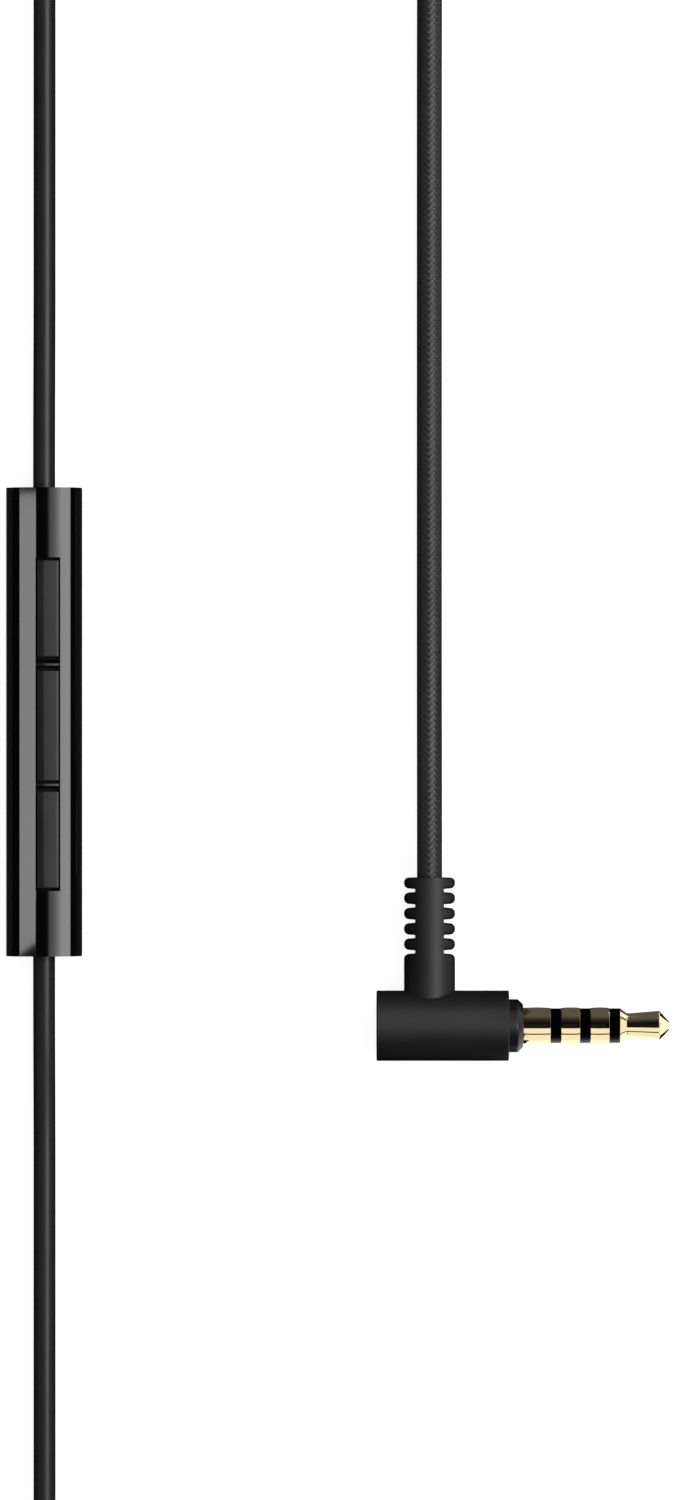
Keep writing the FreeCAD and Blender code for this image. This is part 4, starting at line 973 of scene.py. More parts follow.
def finned_plates(bm):
    """Add the side plates in layers, which draw in towards the top and bottom as an oval does."""
    tilts = [FIN_LAYER_TILT * (2 * layer / FIN_LAYERS - 1) for layer in range(FIN_LAYERS + 1)]
    heights = [HOUSING_RADIUS + FIN_HALF_THICKNESS * math.sin(tilt) for tilt in tilts]
    start = math.cos(tilts[0])
    bottom = bm.faces.new([bm.verts.new((MAIN_CORD_X + u * start, PLUG_Y + v, heights[0]))
                           for u, v in relief_outline()])
    face = bottom
    for before, tilt, height in zip(tilts, tilts[1:], heights[1:]):
        made = bmesh.ops.extrude_face_region(bm, geom=[face])["geom"]
        if face is not bottom:
            bmesh.ops.delete(bm, geom=[face], context="FACES_ONLY")
        face = next(item for item in made if isinstance(item, bmesh.types.BMFace))
        draw = math.cos(tilt) / math.cos(before)
        for vert in face.verts:
            vert.co.x = MAIN_CORD_X + (vert.co.x - MAIN_CORD_X) * draw
            vert.co.z = height


def relief_column(bm):
    """Add the strain relief's column, whose back and front are arcs."""
    slope = math.asin(COLUMN_HALF_WIDTH / COLUMN_BACK_RADIUS)
    side = COLUMN_HALF_HEIGHT - COLUMN_BACK_RADIUS * (1 - math.cos(slope))
    peak = side + COLUMN_HALF_WIDTH * math.tan(slope)
    reach = tangent_length(COLUMN_BACK_RADIUS, 2 * slope)
    outline = rounded([
        (-COLUMN_HALF_WIDTH, -side, 0), (0, -peak, reach), (COLUMN_HALF_WIDTH, -side, 0),
        (COLUMN_HALF_WIDTH, side, 0), (0, peak, reach), (-COLUMN_HALF_WIDTH, side, 0),
    ], CROWN_STEPS)
    pulled(bm, outline, lambda u, w: Vector((MAIN_CORD_X + u, PLUG_Y, HOUSING_RADIUS + w)),
           Y_AXIS * (PLUG_HIGH.y - PLUG_Y))
    soften(bm, edges_at(bm, lambda co: near(co.y, PLUG_HIGH.y)), COLUMN_END_ROUNDING)


def plug_body():
    """Make the plug's housing with its strain relief."""
    bm = bmesh.new()
    length = PLUG_HIGH.x - PLUG_LOW.x
    edge = HOUSING_EDGE_ROUNDING
    spun(bm, [(0, 0), (length, 0), (length, HOUSING_RADIUS, edge), (0, HOUSING_RADIUS, edge)],
         PLUG_AXIS + X_AXIS * PLUG_LOW.x, X_AXIS)
    relief_column(bm)
    finned_plates(bm)
    piece(bm, "plug_body", "soft_plug", ["plug_housing"])


def plug_nose():
    """Make the collar round the root of the pin."""
    radius = (COLLAR_HIGH.z - COLLAR_LOW.z) / 2
    start = PLUG_HIGH.x - COLLAR_ROOT
    length = COLLAR_HIGH.x - start
    soft = COLLAR_CHAMFER_ROUNDING
    turned_piece("plug_nose", "collar_satin", ["plug_collar"],
                 [(0, 0), (length, 0), (length, radius - COLLAR_CHAMFER, soft),
                  (length - COLLAR_CHAMFER, radius, soft), (0, radius)], PLUG_AXIS + X_AXIS * start, X_AXIS)


def pin_bands():
    """Make the pin's contacts and insulators, each a band with softened rims, and its tip."""
    start = COLLAR_HIGH.x
    edge = PIN_EDGE_ROUNDING
    for name in PIN_BANDS:
        insulator = "insulator" in name
        end = box_mm(name)[1].x
        radius = PIN_RADIUS - (INSULATOR_RECESS if insulator else BAND_BULGE)
        bulge = 0 if insulator else 2 * BAND_BULGE
        turned_piece(name + "_band", "insulator_resin" if insulator else "gold_contact", [name],
                     [(start, PIN_BORE), (end, PIN_BORE), (end, radius, edge),
                      ((start + end) / 2, radius + bulge, (end - start) / 2 - 2 * edge),
                      (start, radius, edge)], PLUG_AXIS, X_AXIS)
        start = end
    neck = start + PIN_TIP_FLANGE_LENGTH
    body_end = start + PIN_TIP_BODY_END
    end = body_end + PIN_TIP_POINT_LENGTH
    turned_piece("pin_tip", "gold_contact", ["tip_contact"], [
        (start, 0), (start, PIN_RADIUS - BAND_BULGE, edge), (neck, PIN_TIP_FLANGE_RADIUS, edge),
        (neck + PIN_TIP_NECK_LENGTH, PIN_TIP_NECK_RADIUS),
        (body_end, PIN_TIP_BODY_RADIUS, PIN_TIP_EDGE_ROUNDING),
        (end, PIN_TIP_POINT_RADIUS, 2 * PIN_TIP_EDGE_ROUNDING), (end, 0),
    ], PLUG_AXIS, X_AXIS)


# The splitter and the earpieces


def splitter_halves():
    """Make the two halves of the splitter, with a fine seam between them."""
    seam = SPLITTER_LOW.z
    neck = SPLITTER_LOW.y + SPLITTER_NECK
    right = [
        (SPLITTER_NARROW, SPLITTER_LOW.y, SPLITTER_NECK_ROUNDING),
        (SPLITTER_NARROW, neck, SPLITTER_TAPER_ROUNDING),
        (SPLITTER_WIDE, neck + SPLITTER_TAPER, SPLITTER_TAPER_ROUNDING),
        (SPLITTER_WIDE, SPLITTER_HIGH.y, SPLITTER_CORNER_ROUNDING),
    ]
    outline = rounded(right + [(-u, v, rounding) for u, v, rounding in reversed(right)])
    for name, node, far in (("splitter_front_half", "splitter_front_shell", SPLITTER_HIGH.z),
                            ("splitter_back_half", "splitter_back_shell", 0.0)):
        bm = bmesh.new()
        pulled(bm, outline, lambda u, v: Vector((SPLITTER_X + u, v, seam)), Z_AXIS * (far - seam))
        soften(bm, edges_at(bm, lambda co: near(co.z, far)), SPLITTER_EDGE_ROUNDING, ROUND_STEPS)
        soften(bm, edges_at(bm, lambda co: near(co.z, seam)), SEAM_ROUNDING)
        piece(bm, name, "splitter_satin", [node])


def relief_grooves():
    """Return the corners of an earpiece's strain relief, with its grooves."""
    corners = [(-CORD_GAP, 0), (-CORD_GAP, EAR_RELIEF_RADIUS, GROOVE_FLOOR_ROUNDING)]
    rim = (EAR_RELIEF_RADIUS, GROOVE_RIM_ROUNDING)
    floor = (EAR_RELIEF_CORE, GROOVE_FLOOR_ROUNDING)
    start = EAR_RELIEF_LENGTH - EAR_RELIEF_GROOVES * EAR_RELIEF_PITCH
    for _ in range(EAR_RELIEF_GROOVES):
        end = start + EAR_RELIEF_GROOVE
        corners += [(start, *rim), (start, *floor), (end, *floor), (end, *rim)]
        start += EAR_RELIEF_PITCH
    return corners + [(EAR_RELIEF_LENGTH, EAR_RELIEF_RADIUS, EAR_RELIEF_END_ROUNDING), (EAR_RELIEF_LENGTH, 0)]


def earpiece(side):
    """Make the shells, the strain relief and the soft tip of one earpiece."""
    centre, nozzle, stem = EARS[side]
    seam = EAR_SEAM_ROUNDING
    bm = bmesh.new()
    spun(bm, [(EAR_BACK, 0), (EAR_SEAM, 0), (EAR_SEAM, EAR_RADIUS, seam),
              (EAR_BACK, EAR_RADIUS, EAR_BACK_ROUNDING)], centre, nozzle)
    spun(bm, [(STEM_RADIUS, 0), (STEM_RADIUS, STEM_FLARE_RADIUS),
              (EAR_RADIUS - seam, STEM_FLARE_RADIUS, STEM_FLARE_ROUNDING),
              (STEM_FLARE_END, STEM_RADIUS, STEM_FLARE_END_ROUNDING),
              (STEM_END, STEM_RADIUS, STEM_END_ROUNDING), (STEM_END, 0)], centre, stem)
    piece(bm, side + "_rear_cover", "earpiece_satin", [side + "_rear_housing"])

    barb = NOZZLE_END - BARB_LENGTH
    bore_end = NOZZLE_END - NOZZLE_BORE_DEPTH
    turned_piece(side + "_front_cover", "earpiece_satin", [side + "_front_housing"], [
        (EAR_SEAM, 0), (EAR_SEAM, EAR_RADIUS, seam), (EAR_SHOULDER, EAR_RADIUS, EAR_SHOULDER_ROUNDING),
        (NOZZLE_START, NOZZLE_RADIUS, NOZZLE_START_ROUNDING), (barb, NOZZLE_RADIUS),
        (barb, BARB_RADIUS, BARB_ROUNDING), (NOZZLE_END, NOZZLE_RADIUS, NOZZLE_END_ROUNDING),
        (NOZZLE_END, NOZZLE_BORE, NOZZLE_END_ROUNDING), (bore_end, NOZZLE_BORE), (bore_end, 0),
    ], centre, nozzle)
    turned_piece(side + "_cord_relief", "relief_soft", [side + "_strain_relief"], relief_grooves(),
                 centre + stem * STEM_END, stem)

    lip = NOZZLE_END + TIP_GAP
    catch = lip - BARB_LENGTH
    catch_radius = BARB_RADIUS + TIP_BARB_GAP
    inner = TIP_RADIUS - TIP_WALL
    turned_piece(side + "_soft_tip", "ear_tip_silicone", [side + "_ear_tip"], [
        (TIP_SLEEVE_START, NOZZLE_RADIUS + TIP_GAP, TIP_BORE_ROUNDING), (catch, NOZZLE_RADIUS + TIP_GAP),
        (catch, catch_radius), (lip, catch_radius), (lip, TIP_OPENING, TIP_LIP_ROUNDING),
        (TIP_FRONT, TIP_OPENING, TIP_OPENING_ROUNDING), (TIP_FRONT, TIP_FRONT_RADIUS, TIP_FRONT_ROUNDING),
        (*TIP_DOME, TIP_DOME_ROUNDING), (TIP_SHOULDER, TIP_RADIUS, TIP_SHOULDER_ROUNDING),
        (TIP_SKIRT_START, TIP_RADIUS, TIP_RIM_ROUNDING), (TIP_SKIRT_START, inner, TIP_RIM_ROUNDING),
        (TIP_SHOULDER, inner, TIP_DOME_ROUNDING), (lip - TIP_WALL, TIP_SLEEVE_RADIUS, TIP_SLEEVE_ROUNDING),
        (TIP_SLEEVE_START, TIP_SLEEVE_RADIUS, TIP_RIM_ROUNDING),
    ], centre, nozzle)


# The cords and their ties


def coil_points(coil):
    """Return the control points of a coil wound in and out in layers, from its outer turn."""
    count = math.ceil(coil["turns"] * COIL_POINTS_PER_TURN)
    points = []
    for step in range(count + 1):
        turn = coil["turns"] * step / count
        layer, share = divmod(turn / coil["layer_turns"], 1)
        inward = share if layer % 2 == 0 else 1 - share
        radius = coil["outer"] - (coil["outer"] - coil["inner"]) * inward
        climb = max(0.0, (share - 1 + LAYER_CLIMB) / LAYER_CLIMB)
        height = min(layer + climb * climb * (3 - 2 * climb), coil["layers"] - 1)
        angle = coil["start"] + coil["direction"] * turn * math.tau
        reach = radius / COIL_DRAW_IN
        points.append((
            coil["centre"][0] + reach * math.cos(angle),
            coil["centre"][1] + reach * math.sin(angle),
            coil["low"] + height * coil["diameter"],
        ))
    return points


def cord_line(name, points):
    """Return a curve whose one smooth spline has the route's points as its control points."""
    line = bpy.data.curves.new(name, "CURVE")
    line.dimensions = "3D"
    spline = line.splines.new("NURBS")
    spline.points.add(len(points) - 1)
    for place, point in zip(spline.points, points):
        place.co = (*point, 1.0)
    spline.order_u = 3
    spline.use_endpoint_u = True
    spline.resolution_u = CORD_STEPS
    return line


def map_sleeve(mesh, sides, travelled, round_length):
    """Give a sleeve its map: share of a turn round it, and lengths once round it along it."""
    while mesh.uv_layers:
        mesh.uv_layers.remove(mesh.uv_layers[0])
    layer = mesh.uv_layers.new(name="UVMap")
    for polygon in mesh.polygons:
        shares = [index % sides / sides for index in polygon.vertices]
        if max(shares) - min(shares) > 0.5:
            shares = [share + 1 if share < 0.5 else share for share in shares]
        for loop, index, share in zip(polygon.loop_indices, polygon.vertices, shares):
            layer.data[loop].uv = (share, travelled[index // sides] / round_length)


def cord_sleeve(name, points, diameter, finish, replaces):
    """Make a cord's sleeve along its smooth line, and return it with its path and its length."""
    line = cord_line(name + "_line", points)
    carrier = bpy.data.objects.new(name + "_line", line)
    path = [vert.co.copy() for vert in bpy.data.meshes.new_from_object(carrier).vertices]
    line.bevel_depth = diameter / 2
    line.bevel_resolution = CORD_BEVEL_STEPS
    mesh = bpy.data.meshes.new_from_object(carrier)
    bpy.data.objects.remove(carrier)
    sides, left_over = divmod(len(mesh.vertices), len(path))
    if left_over:
        raise RuntimeError(f"the sleeve of {name} has rings that don't match its line")
    travelled = [0.0]
    for before, after in zip(path, path[1:]):
        travelled.append(travelled[-1] + (after - before).length)
    map_sleeve(mesh, sides, travelled, math.pi * diameter)
    bm = bmesh.new()
    bm.from_mesh(mesh)
    bmesh.ops.holes_fill(bm, edges=[edge for edge in bm.edges if edge.is_boundary], sides=0)
    bmesh.ops.recalc_face_normals(bm, faces=bm.faces[:])
    bm.to_mesh(mesh)
    bm.free()
    return set_down(mesh, name, finish, replaces, crease=CORD_CREASE_ANGLE), path, travelled[-1]


def turns_across(coil, angle):
    """Return each turn's (distance from the coil's centre, height) at an angle, in millimetres."""
    centre = Vector(coil["centre"]) / MM
    places = [Vector(point) / MM for point in coil_points(coil)]
    outward = Vector((math.cos(angle), math.sin(angle)))
    crossings = []
    for before, after in zip(places, places[1:]):
        sides = [outward.cross(place.xy - centre) for place in (before, after)]
        if sides[0] * sides[1] <= 0 and outward.dot(before.xy - centre) > 0:
            place = before.lerp(after, sides[0] / (sides[0] - sides[1]))
            crossings.append(((place.xy - centre).length * COIL_DRAW_IN, place.z))
    return crossings


def coil_tie(name, coil, angle, node):
    """Make the band that holds a coil together, wrapped tightly round its turns at an angle."""
    radius = coil["diameter"] / MM / 2 + TIE_GAP
    centre = Vector((coil["centre"][0] / MM, coil["centre"][1] / MM, 0))
    outward = Vector((math.cos(angle), math.sin(angle), 0))
    along = Vector((-outward.y, outward.x, 0))
    turned = Matrix((outward, Z_AXIS, along)).transposed().to_4x4()
    bm = bmesh.new()
    for reach, height in turns_across(coil, angle):
        for side in (-1, 1):
            middle = centre + outward * reach + Z_AXIS * height + along * (side * TIE_WIDTH / 2)
            bmesh.ops.create_circle(bm, segments=TIE_ROUND_STEPS, radius=radius,
                                    matrix=Matrix.Translation(middle) @ turned)
    hull = bmesh.ops.convex_hull(bm, input=bm.verts[:])
    spare = {item for item in hull["geom_interior"] + hull["geom_unused"]
             if isinstance(item, bmesh.types.BMVert)}
    bmesh.ops.delete(bm, geom=list(spare), context="VERTS")
    caps = [face for face in bm.faces if abs(face.normal.dot(along)) > CAP_FACING]
    bmesh.ops.delete(bm, geom=caps, context="FACES_ONLY")
    bmesh.ops.recalc_face_normals(bm, faces=bm.faces[:])
    bmesh.ops.solidify(bm, geom=bm.faces[:], thickness=-TIE_THICKNESS)
    rims = [edge for edge in bm.edges if edge.is_manifold and edge.calc_face_angle() > TIE_RIM_ANGLE]
    soften(bm, rims, TIE_THICKNESS / 3)
    piece(bm, name, "tie_weave", [node])


def make_cords():
    """Make the four free lengths of cord."""
    main_points = MAIN_POINTS + coil_points(MAIN_COIL) + MAIN_TAIL_POINTS
    right_points = RIGHT_LEAD_POINTS + coil_points(RIGHT_COIL) + RIGHT_TAIL_POINTS
    cord_sleeve("main_cord_sleeve", main_points[::-1], MAIN_CORD_DIAMETER,
                                "braided_cord_sleeve", ["main_cord", "main_cord_coil", "main_cord_tail"])
    for name, piece_name, points, nodes in (
        ("right", "right_cord_sleeve", right_points[::-1],
         ["right_cord_lead", "right_cord_coil", "right_cord_tail"]),
        ("left_upper", "left_upper_sleeve", LEFT_UPPER_POINTS, ["left_upper_cord"]),
        ("left_lower", "left_lower_sleeve", LEFT_LOWER_POINTS[::-1], ["left_lower_cord"]),
    ):
        cord_sleeve(piece_name, points, BRANCH_CORD_DIAMETER, "smooth_cord_sleeve", nodes)


# The camera and the studio


def make_camera():
    """Make the camera, which looks straight down from far off, with the photograph's frame."""
    data = bpy.data.cameras.new("photo_camera")
    data.sensor_width = SENSOR_WIDTH
    data.lens = SENSOR_WIDTH * CAMERA_DISTANCE * PHOTO_PIXELS_PER_METRE / PHOTO_HEIGHT
    camera = bpy.data.objects.new("photo_camera", data)
    camera.location = VIEW_CENTRE + Z_AXIS * CAMERA_DISTANCE
    bpy.context.scene.collection.objects.link(camera)
    bpy.context.scene.camera = camera


def stage_sheet(name, x_span, y_span, z_span, material):
    """Make a sheet of the stage, which rises along Y from its low height to its high one."""
    bm = bmesh.new()
    low, high = z_span
    corners = [(x_span[0], y_span[0], low), (x_span[1], y_span[0], low),
               (x_span[1], y_span[1], high), (x_span[0], y_span[1], high)]
    bm.faces.new([bm.verts.new(corner) for corner in corners])
    mesh = bpy.data.meshes.new(name)
    bm.to_mesh(mesh)
    bm.free()
    mesh.materials.append(material)
    sheet = bpy.data.objects.new(name, mesh)
    bpy.context.scene.collection.objects.link(sheet)
    return sheet


def seen_by_reflections_only(sheet):
    """Keep a studio card out of the picture and the shadows, so that only reflections see it."""
    sheet.visible_camera = False
    sheet.visible_diffuse = False
    sheet.visible_shadow = False
    sheet.visible_transmission = False


def light_only(light, names, others=False):
    """Let a light fall on some pieces only, or on every other piece."""
    lit = bpy.data.collections.new(light.name + "_receivers")
    for name in names:
        lit.objects.link(bpy.data.objects[name])
    if others:
        for link in lit.collection_objects:
            link.light_linking.link_state = "EXCLUDE"
    light.light_linking.receiver_collection = lit


def glowing(name, strength, axis="X", fades=()):
    """Return the face of a light, which may rise in steps of (share, from, to) along an axis."""
    finish = Finish(name, base_color=BLACK, roughness=1.0, specular_ior_level=0.0,
                    emission_color=WHITE, emission_strength=strength)
    if fades:
        place = finish.axis(axis)
        level = sum(place.smooth(start, end) * share for share, start, end in fades)
        finish.set(emission_color=finish.mixed(level, BLACK, WHITE))
    return finish.material


def pale_floor(settings):
    """Return the floor's white paper, which keeps soft shadows and ends pure white in the distance."""
    finish = Finish("white_paper", roughness=1.0, specular_ior_level=0.0, emission_strength=1.0)
    rays = finish.node("ShaderNodeLightPath")
    camera, glossy, transmission = (Value(finish, rays.outputs[f"Is {kind} Ray"])
                                    for kind in ("Camera", "Glossy", "Transmission"))
    seen = finish.math("MAXIMUM", finish.math("MAXIMUM", camera, glossy), transmission)
    x, y = finish.axis("X"), finish.axis("Y")
    distance = (x * x + y * y) ** 0.5
    lift = (settings.floor_lift + distance.smooth(*FLOOR_FADE) * (1 - settings.floor_lift)) * seen
    grain = finish.noise(1500.0, detail=3.0)
    finish.set(
        base_color=finish.tones(grain, (settings.floor_colour,) * 3, 0.98, 1.0),
        emission_color=finish.mixed(lift, BLACK, WHITE),
    )
    return finish.material


def right_panel(settings):
    """Make the long panel on the right, whose light rises in two steps away from the remote."""
    height = settings.panel_height
    start, step, full, end = (REMOTE_X * MM + height * math.tan(angle) for angle in (
        settings.right_inner, settings.right_step, settings.right_full, settings.right_outer))
    face = glowing("right_panel_face", settings.right_level, "X",
                   [(RAMP_STEP, start, step), (1 - RAMP_STEP, step, full)])
    panel = stage_sheet("right_panel", (start, end), STUDIO_Y, (height, height), face)
    panel.visible_camera = False
    light_only(panel, PIN_PIECES, others=True)


def make_lights(settings):
    """Make the soft light overhead, the right panel, the far panels and the remote's own panel."""
    overhead = stage_sheet("overhead_light", OVERHEAD_X, OVERHEAD_Y, (OVERHEAD_HEIGHT, OVERHEAD_HEIGHT),
                           glowing("overhead_face", settings.overhead_level))
    overhead.visible_camera = False
    overhead.visible_glossy = False
    right_panel(settings)
    for name, y in (("front_panel", -END_PANEL_DISTANCE), ("back_panel", END_PANEL_DISTANCE)):
        panel = stage_sheet(name, (-END_PANEL_REACH, END_PANEL_REACH), (y, y + CARD_DROP),
                            END_PANEL_HEIGHTS, glowing(name + "_face", settings.end_level))
        seen_by_reflections_only(panel)
        light_only(panel, PLUG_PIECES + PIN_PIECES, others=True)
    x_span = [REMOTE_X * MM - NEAR_PANEL_HEIGHT * math.tan(angle)
              for angle in (settings.left_outer, settings.left_inner)]
    y_span = (REMOTE_LOW.y * MM - NEAR_PANEL_MARGIN, REMOTE_HIGH.y * MM + NEAR_PANEL_MARGIN)
    panel = stage_sheet("near_panel", x_span, y_span, (NEAR_PANEL_HEIGHT, NEAR_PANEL_HEIGHT),
                        glowing("near_panel_face", settings.left_level))
    seen_by_reflections_only(panel)
    light_only(panel, REMOTE_PIECES)


def make_cards(settings):
    """Make the dark cards on the floor and the cards round the pin, which only reflections see."""
    pin_y = PLUG_Y * MM
    pin_z = HOUSING_RADIUS * MM
    left_edge, right_edge = DARK_CARD_EDGES
    reach = DARK_CARD_REACH
    face = glowing("dark_card_face", settings.floor_card_level)
    for name, x_span, y_span in (
        ("dark_card_left", (-reach.x, left_edge), (-reach.y, reach.y)),
        ("dark_card_right", (right_edge, reach.x), (pin_y + DARK_CARD_MARGIN, reach.y)),
    ):
        card = stage_sheet(name, x_span, y_span, (-CARD_DROP, -CARD_DROP), face)
        seen_by_reflections_only(card)
        light_only(card, GLOSSY_PIECES)

    height = PIN_CARD_HEIGHT
    faces = {
        "black": Finish("black_card", base_color=BLACK, roughness=1.0, specular_ior_level=0.0).material,
        "white": glowing("white_card_face", settings.pin_card_level),
        "dim": glowing("dim_card_face", settings.dim_card_level),
        "fading": glowing("fading_card_face", settings.dim_card_level, "Y",
                          [(1, pin_y, pin_y + FADE_HEIGHTS * height)]),
    }
    tip = box_mm("tip_contact")[1].x * MM
    stretches = {
        "pin": (COLLAR_HIGH.x * MM - PIN_CARD_LEAD, tip),
        "edge": (tip, tip + PIN_EDGE_CARD_WIDTH),
        "beyond": (tip, tip + END_CARD_WIDTH),
    }
    for name, stretch, y_span, z_span, face in PIN_CARDS:
        y_span = [pin_y + height * y for y in y_span]
        z_span = [-CARD_DROP if z is None else pin_z + height * z for z in z_span]
        card = stage_sheet(name, stretches[stretch], y_span, z_span, faces[face])
        seen_by_reflections_only(card)
        light_only(card, GOLD_PIECES)


def make_stage(scene):
    """Make the floor, the lights, the cards and the world, which the camera sees as white."""
    settings = scene.earphone_studio
    span = (-FLOOR_REACH, FLOOR_REACH)
    stage_sheet("floor", span, span, (-FLOOR_DROP, -FLOOR_DROP), pale_floor(settings))
    make_lights(settings)
    make_cards(settings)
    world = bpy.data.worlds.new("studio")
    scene.world = world
    world.use_nodes = True
    nodes, links = world.node_tree.nodes, world.node_tree.links
    background = nodes["Background"]
    background.inputs["Color"].default_value = WHITE
    rays = nodes.new("ShaderNodeLightPath")
    level = nodes.new("ShaderNodeMapRange")
    level.inputs["To Min"].default_value = settings.world_level
    links.new(rays.outputs["Is Camera Ray"], level.inputs["Value"])
    links.new(level.outputs["Result"], background.inputs["Strength"])
    scene.view_settings.view_transform = "Standard"


# Settings


def colour_setting(name, description, default):
    """Return a colour setting."""
    return bpy.props.FloatVectorProperty(name=name, description=description, subtype="COLOR", size=3,
                                         min=0.0, max=1.0, default=default)


class EarphoneColours(bpy.types.PropertyGroup):
    """Colours of the earphones' finishes."""

    gloss_black: colour_setting("Gloss black", "Casing, earpieces and insulators", (0.0016, 0.0016, 0.0017))
    button_black: colour_setting("Button black", "Buttons and ribs of the remote", (0.006, 0.006, 0.0063))
    plug_black: colour_setting("Plug black", "Plug, splitter, reliefs, inner parts", (0.009, 0.009, 0.0093))
    smooth_black: colour_setting("Smooth sleeve", "Branch cords", (0.016, 0.016, 0.0165))
    sleeve_black: colour_setting("Braided sleeve", "Main cord and the ties", (0.020, 0.020, 0.021))
    silicone: colour_setting("Silicone", "Ear tips and diaphragms", (0.025, 0.025, 0.026))
    gold: colour_setting("Gold", "Contacts of the pin", (0.98, 0.82, 0.50))
    steel: colour_setting("Steel", "Inner metal pieces", (0.55, 0.55, 0.54))
    board: colour_setting("Board", "Circuit board's lacquer", (0.003, 0.006, 0.004))


class EarphoneSizes(bpy.types.PropertyGroup):
    """Sizes of surface detail."""

    braid_row: bpy.props.FloatProperty(
        name="Braid row", description="Length of one row of the braid", default=0.0006,
        min=0.0002, max=0.003, subtype="DISTANCE", unit="LENGTH", precision=5)
    braid_yarns: bpy.props.IntProperty(
        name="Braid yarns", description="Yarns round the braid each way", default=10, min=4, max=32)


def level_setting(name, description, default, most=20.0):
    """Return a setting for how bright or how pale something is."""
    return bpy.props.FloatProperty(name=name, description=description, default=default, min=0.0, max=most)


def angle_setting(name, description, degrees):
    """Return a setting for the angle of a panel's line from straight above the remote."""
    return bpy.props.FloatProperty(name=name, description=description, default=math.radians(degrees),
                                   subtype="ANGLE", unit="ROTATION")


class EarphoneStudio(bpy.types.PropertyGroup):
    """Light of the studio."""

    panel_height: bpy.props.FloatProperty(
        name="Panel height", description="Height of the right panel", default=STUDIO_HEIGHT,
        min=0.2, max=3.0, subtype="DISTANCE", unit="LENGTH")
    left_inner: angle_setting("Left inner edge", "Near panel's inner edge", 15)
    left_outer: angle_setting("Left outer edge", "Near panel's outer edge", 30)
    right_inner: angle_setting("Right inner edge", "Right panel's inner edge", 14)
    right_step: angle_setting("Right first step", "Where the right panel's first step ends", 18)
    right_full: angle_setting("Right full light", "Where the right panel has its full light", 28)
    right_outer: angle_setting("Right outer edge", "Right panel's outer edge", 46)
    left_level: level_setting("Left level", "Brightness of the near panel", 4.0)
    right_level: level_setting("Right level", "Brightness of the right panel", 4.6)
    end_level: level_setting("End level", "Brightness of the far panels in front and behind", 1.0)
    overhead_level: level_setting("Overhead level", "Brightness of the soft light overhead", 1.6)
    floor_card_level: level_setting("Floor card", "Brightness of the floor's dark cards", 0.05, 1.0)
    dim_card_level: level_setting("Dim card", "Brightness of the dim cards beside the pin", 0.1, 5.0)
    pin_card_level: level_setting("Pin card", "Brightness of the white cards beside the pin", 1.0, 5.0)
    floor_colour: level_setting("Floor colour", "Whiteness of the floor's paper", 0.5, 1.0)
    floor_lift: level_setting("Floor lift", "Light that the floor adds where it is seen", 0.85, 1.0)
    world_level: level_setting("World", "Brightness of the room", 0.012, 2.0)


# Operators and panel


class EARPHONES_OT_camera(bpy.types.Operator):
    """Make the camera above the earphones"""
    bl_idname = "earphones.camera"
    bl_label = "Camera"

    def execute(self, context):
        make_camera()
        return {"FINISHED"}


class EARPHONES_OT_cords(bpy.types.Operator):
    """Make the braided main cord and the smooth branch cords"""
    bl_idname = "earphones.cords"
    bl_label = "Cords"

    def execute(self, context):
        make_cords()
        return {"FINISHED"}


class EARPHONES_OT_remote(bpy.types.Operator):
    """Make the remote's front and back covers and the ribs of its pocket"""
    bl_idname = "earphones.remote"
    bl_label = "Remote"

    def execute(self, context):
        remote_front_cover()
        remote_back_cover()
        remote_pocket_ribs()
        return {"FINISHED"}


class EARPHONES_OT_buttons(bpy.types.Operator):
    """Make the remote's three buttons"""
    bl_idname = "earphones.buttons"
    bl_label = "Buttons"

    def execute(self, context):
        for name in ("volume_up", "centre", "volume_down"):
            button_key(name)
        return {"FINISHED"}


class EARPHONES_OT_plug(bpy.types.Operator):
    """Make the plug's body, its strain relief and its collar"""
    bl_idname = "earphones.plug"
    bl_label = "Plug"

    def execute(self, context):
        plug_body()
        plug_nose()
        return {"FINISHED"}


class EARPHONES_OT_pin(bpy.types.Operator):
    """Make the pin's contacts and insulators"""
    bl_idname = "earphones.pin"
    bl_label = "Pin"

    def execute(self, context):
        pin_bands()
        return {"FINISHED"}


class EARPHONES_OT_splitter(bpy.types.Operator):
    """Make the splitter where the cord divides"""
    bl_idname = "earphones.splitter"
    bl_label = "Splitter"

    def execute(self, context):
        splitter_halves()
        return {"FINISHED"}


class EARPHONES_OT_earpieces(bpy.types.Operator):
    """Make both earpieces with their soft tips"""
    bl_idname = "earphones.earpieces"
    bl_label = "Earpieces"

    def execute(self, context):
        for side in EARS:
            earpiece(side)
        return {"FINISHED"}


class EARPHONES_OT_ties(bpy.types.Operator):
    """Make the bands that hold the coils"""
    bl_idname = "earphones.ties"
    bl_label = "Ties"

    def execute(self, context):
        coil_tie("main_cord_band", MAIN_COIL, MAIN_TIE_ANGLE, "main_cord_tie")
        coil_tie("right_cord_band", RIGHT_COIL, RIGHT_TIE_ANGLE, "right_cord_tie")
        return {"FINISHED"}


class EARPHONES_OT_inner_pieces(bpy.types.Operator):
    """Give the pieces inside the housings their finishes"""
    bl_idname = "earphones.inner_pieces"
    bl_label = "Inner pieces"

    def execute(self, context):
        for finish, names in KEPT_NODES.items():
            for name in names:
                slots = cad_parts[name].material_slots
                if not slots:
                    raise RuntimeError(f"{name} has no material slot")
                for slot in slots:
                    slot.material = finish_named(finish)
        return {"FINISHED"}


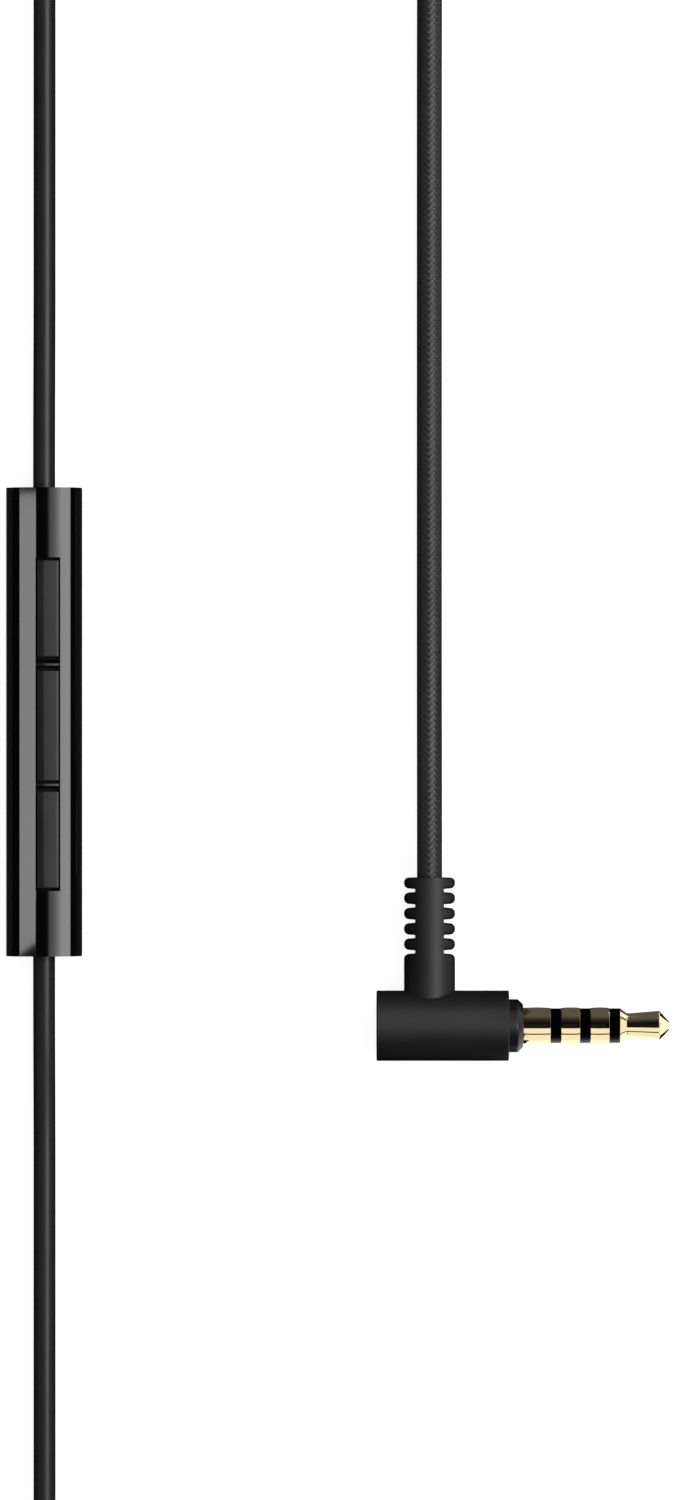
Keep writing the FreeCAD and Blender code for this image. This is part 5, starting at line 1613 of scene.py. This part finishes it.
class EARPHONES_OT_stage(bpy.types.Operator):
    """Make the floor, the light panels and the cards"""
    bl_idname = "earphones.stage"
    bl_label = "Stage"

    def execute(self, context):
        make_stage(context.scene)
        return {"FINISHED"}


OPERATORS = (
    EARPHONES_OT_camera,
    EARPHONES_OT_cords,
    EARPHONES_OT_remote,
    EARPHONES_OT_buttons,
    EARPHONES_OT_plug,
    EARPHONES_OT_pin,
    EARPHONES_OT_splitter,
    EARPHONES_OT_earpieces,
    EARPHONES_OT_ties,
    EARPHONES_OT_inner_pieces,
    EARPHONES_OT_stage,
)


class EARPHONES_PT_panel(bpy.types.Panel):
    """Lists the settings and what makes each group of pieces"""
    bl_idname = "EARPHONES_PT_panel"
    bl_label = "Earphones"
    bl_space_type = "VIEW_3D"
    bl_region_type = "UI"
    bl_category = "Earphones"

    def draw(self, context):
        for group in (context.scene.earphone_colours, context.scene.earphone_sizes,
                      context.scene.earphone_studio):
            box = self.layout.box()
            for name in group.__annotations__:
                box.prop(group, name)
        for operator in OPERATORS:
            self.layout.operator(operator.bl_idname)


CLASSES = (EarphoneColours, EarphoneSizes, EarphoneStudio) + OPERATORS + (EARPHONES_PT_panel,)


def register():
    """Register the classes and their settings."""
    for item in CLASSES:
        bpy.utils.register_class(item)
    bpy.types.Scene.earphone_colours = bpy.props.PointerProperty(type=EarphoneColours)
    bpy.types.Scene.earphone_sizes = bpy.props.PointerProperty(type=EarphoneSizes)
    bpy.types.Scene.earphone_studio = bpy.props.PointerProperty(type=EarphoneStudio)


def unregister():
    """Take the settings and the classes away."""
    del bpy.types.Scene.earphone_studio
    del bpy.types.Scene.earphone_sizes
    del bpy.types.Scene.earphone_colours
    for item in reversed(CLASSES):
        bpy.utils.unregister_class(item)


def main():
    """Make everything."""
    register()
    bpy.ops.earphones.camera()
    bpy.ops.earphones.cords()
    bpy.ops.earphones.remote()
    bpy.ops.earphones.buttons()
    bpy.ops.earphones.plug()
    bpy.ops.earphones.pin()
    bpy.ops.earphones.splitter()
    bpy.ops.earphones.earpieces()
    bpy.ops.earphones.ties()
    bpy.ops.earphones.inner_pieces()
    bpy.ops.earphones.stage()


if __name__ == "__main__":
    main()
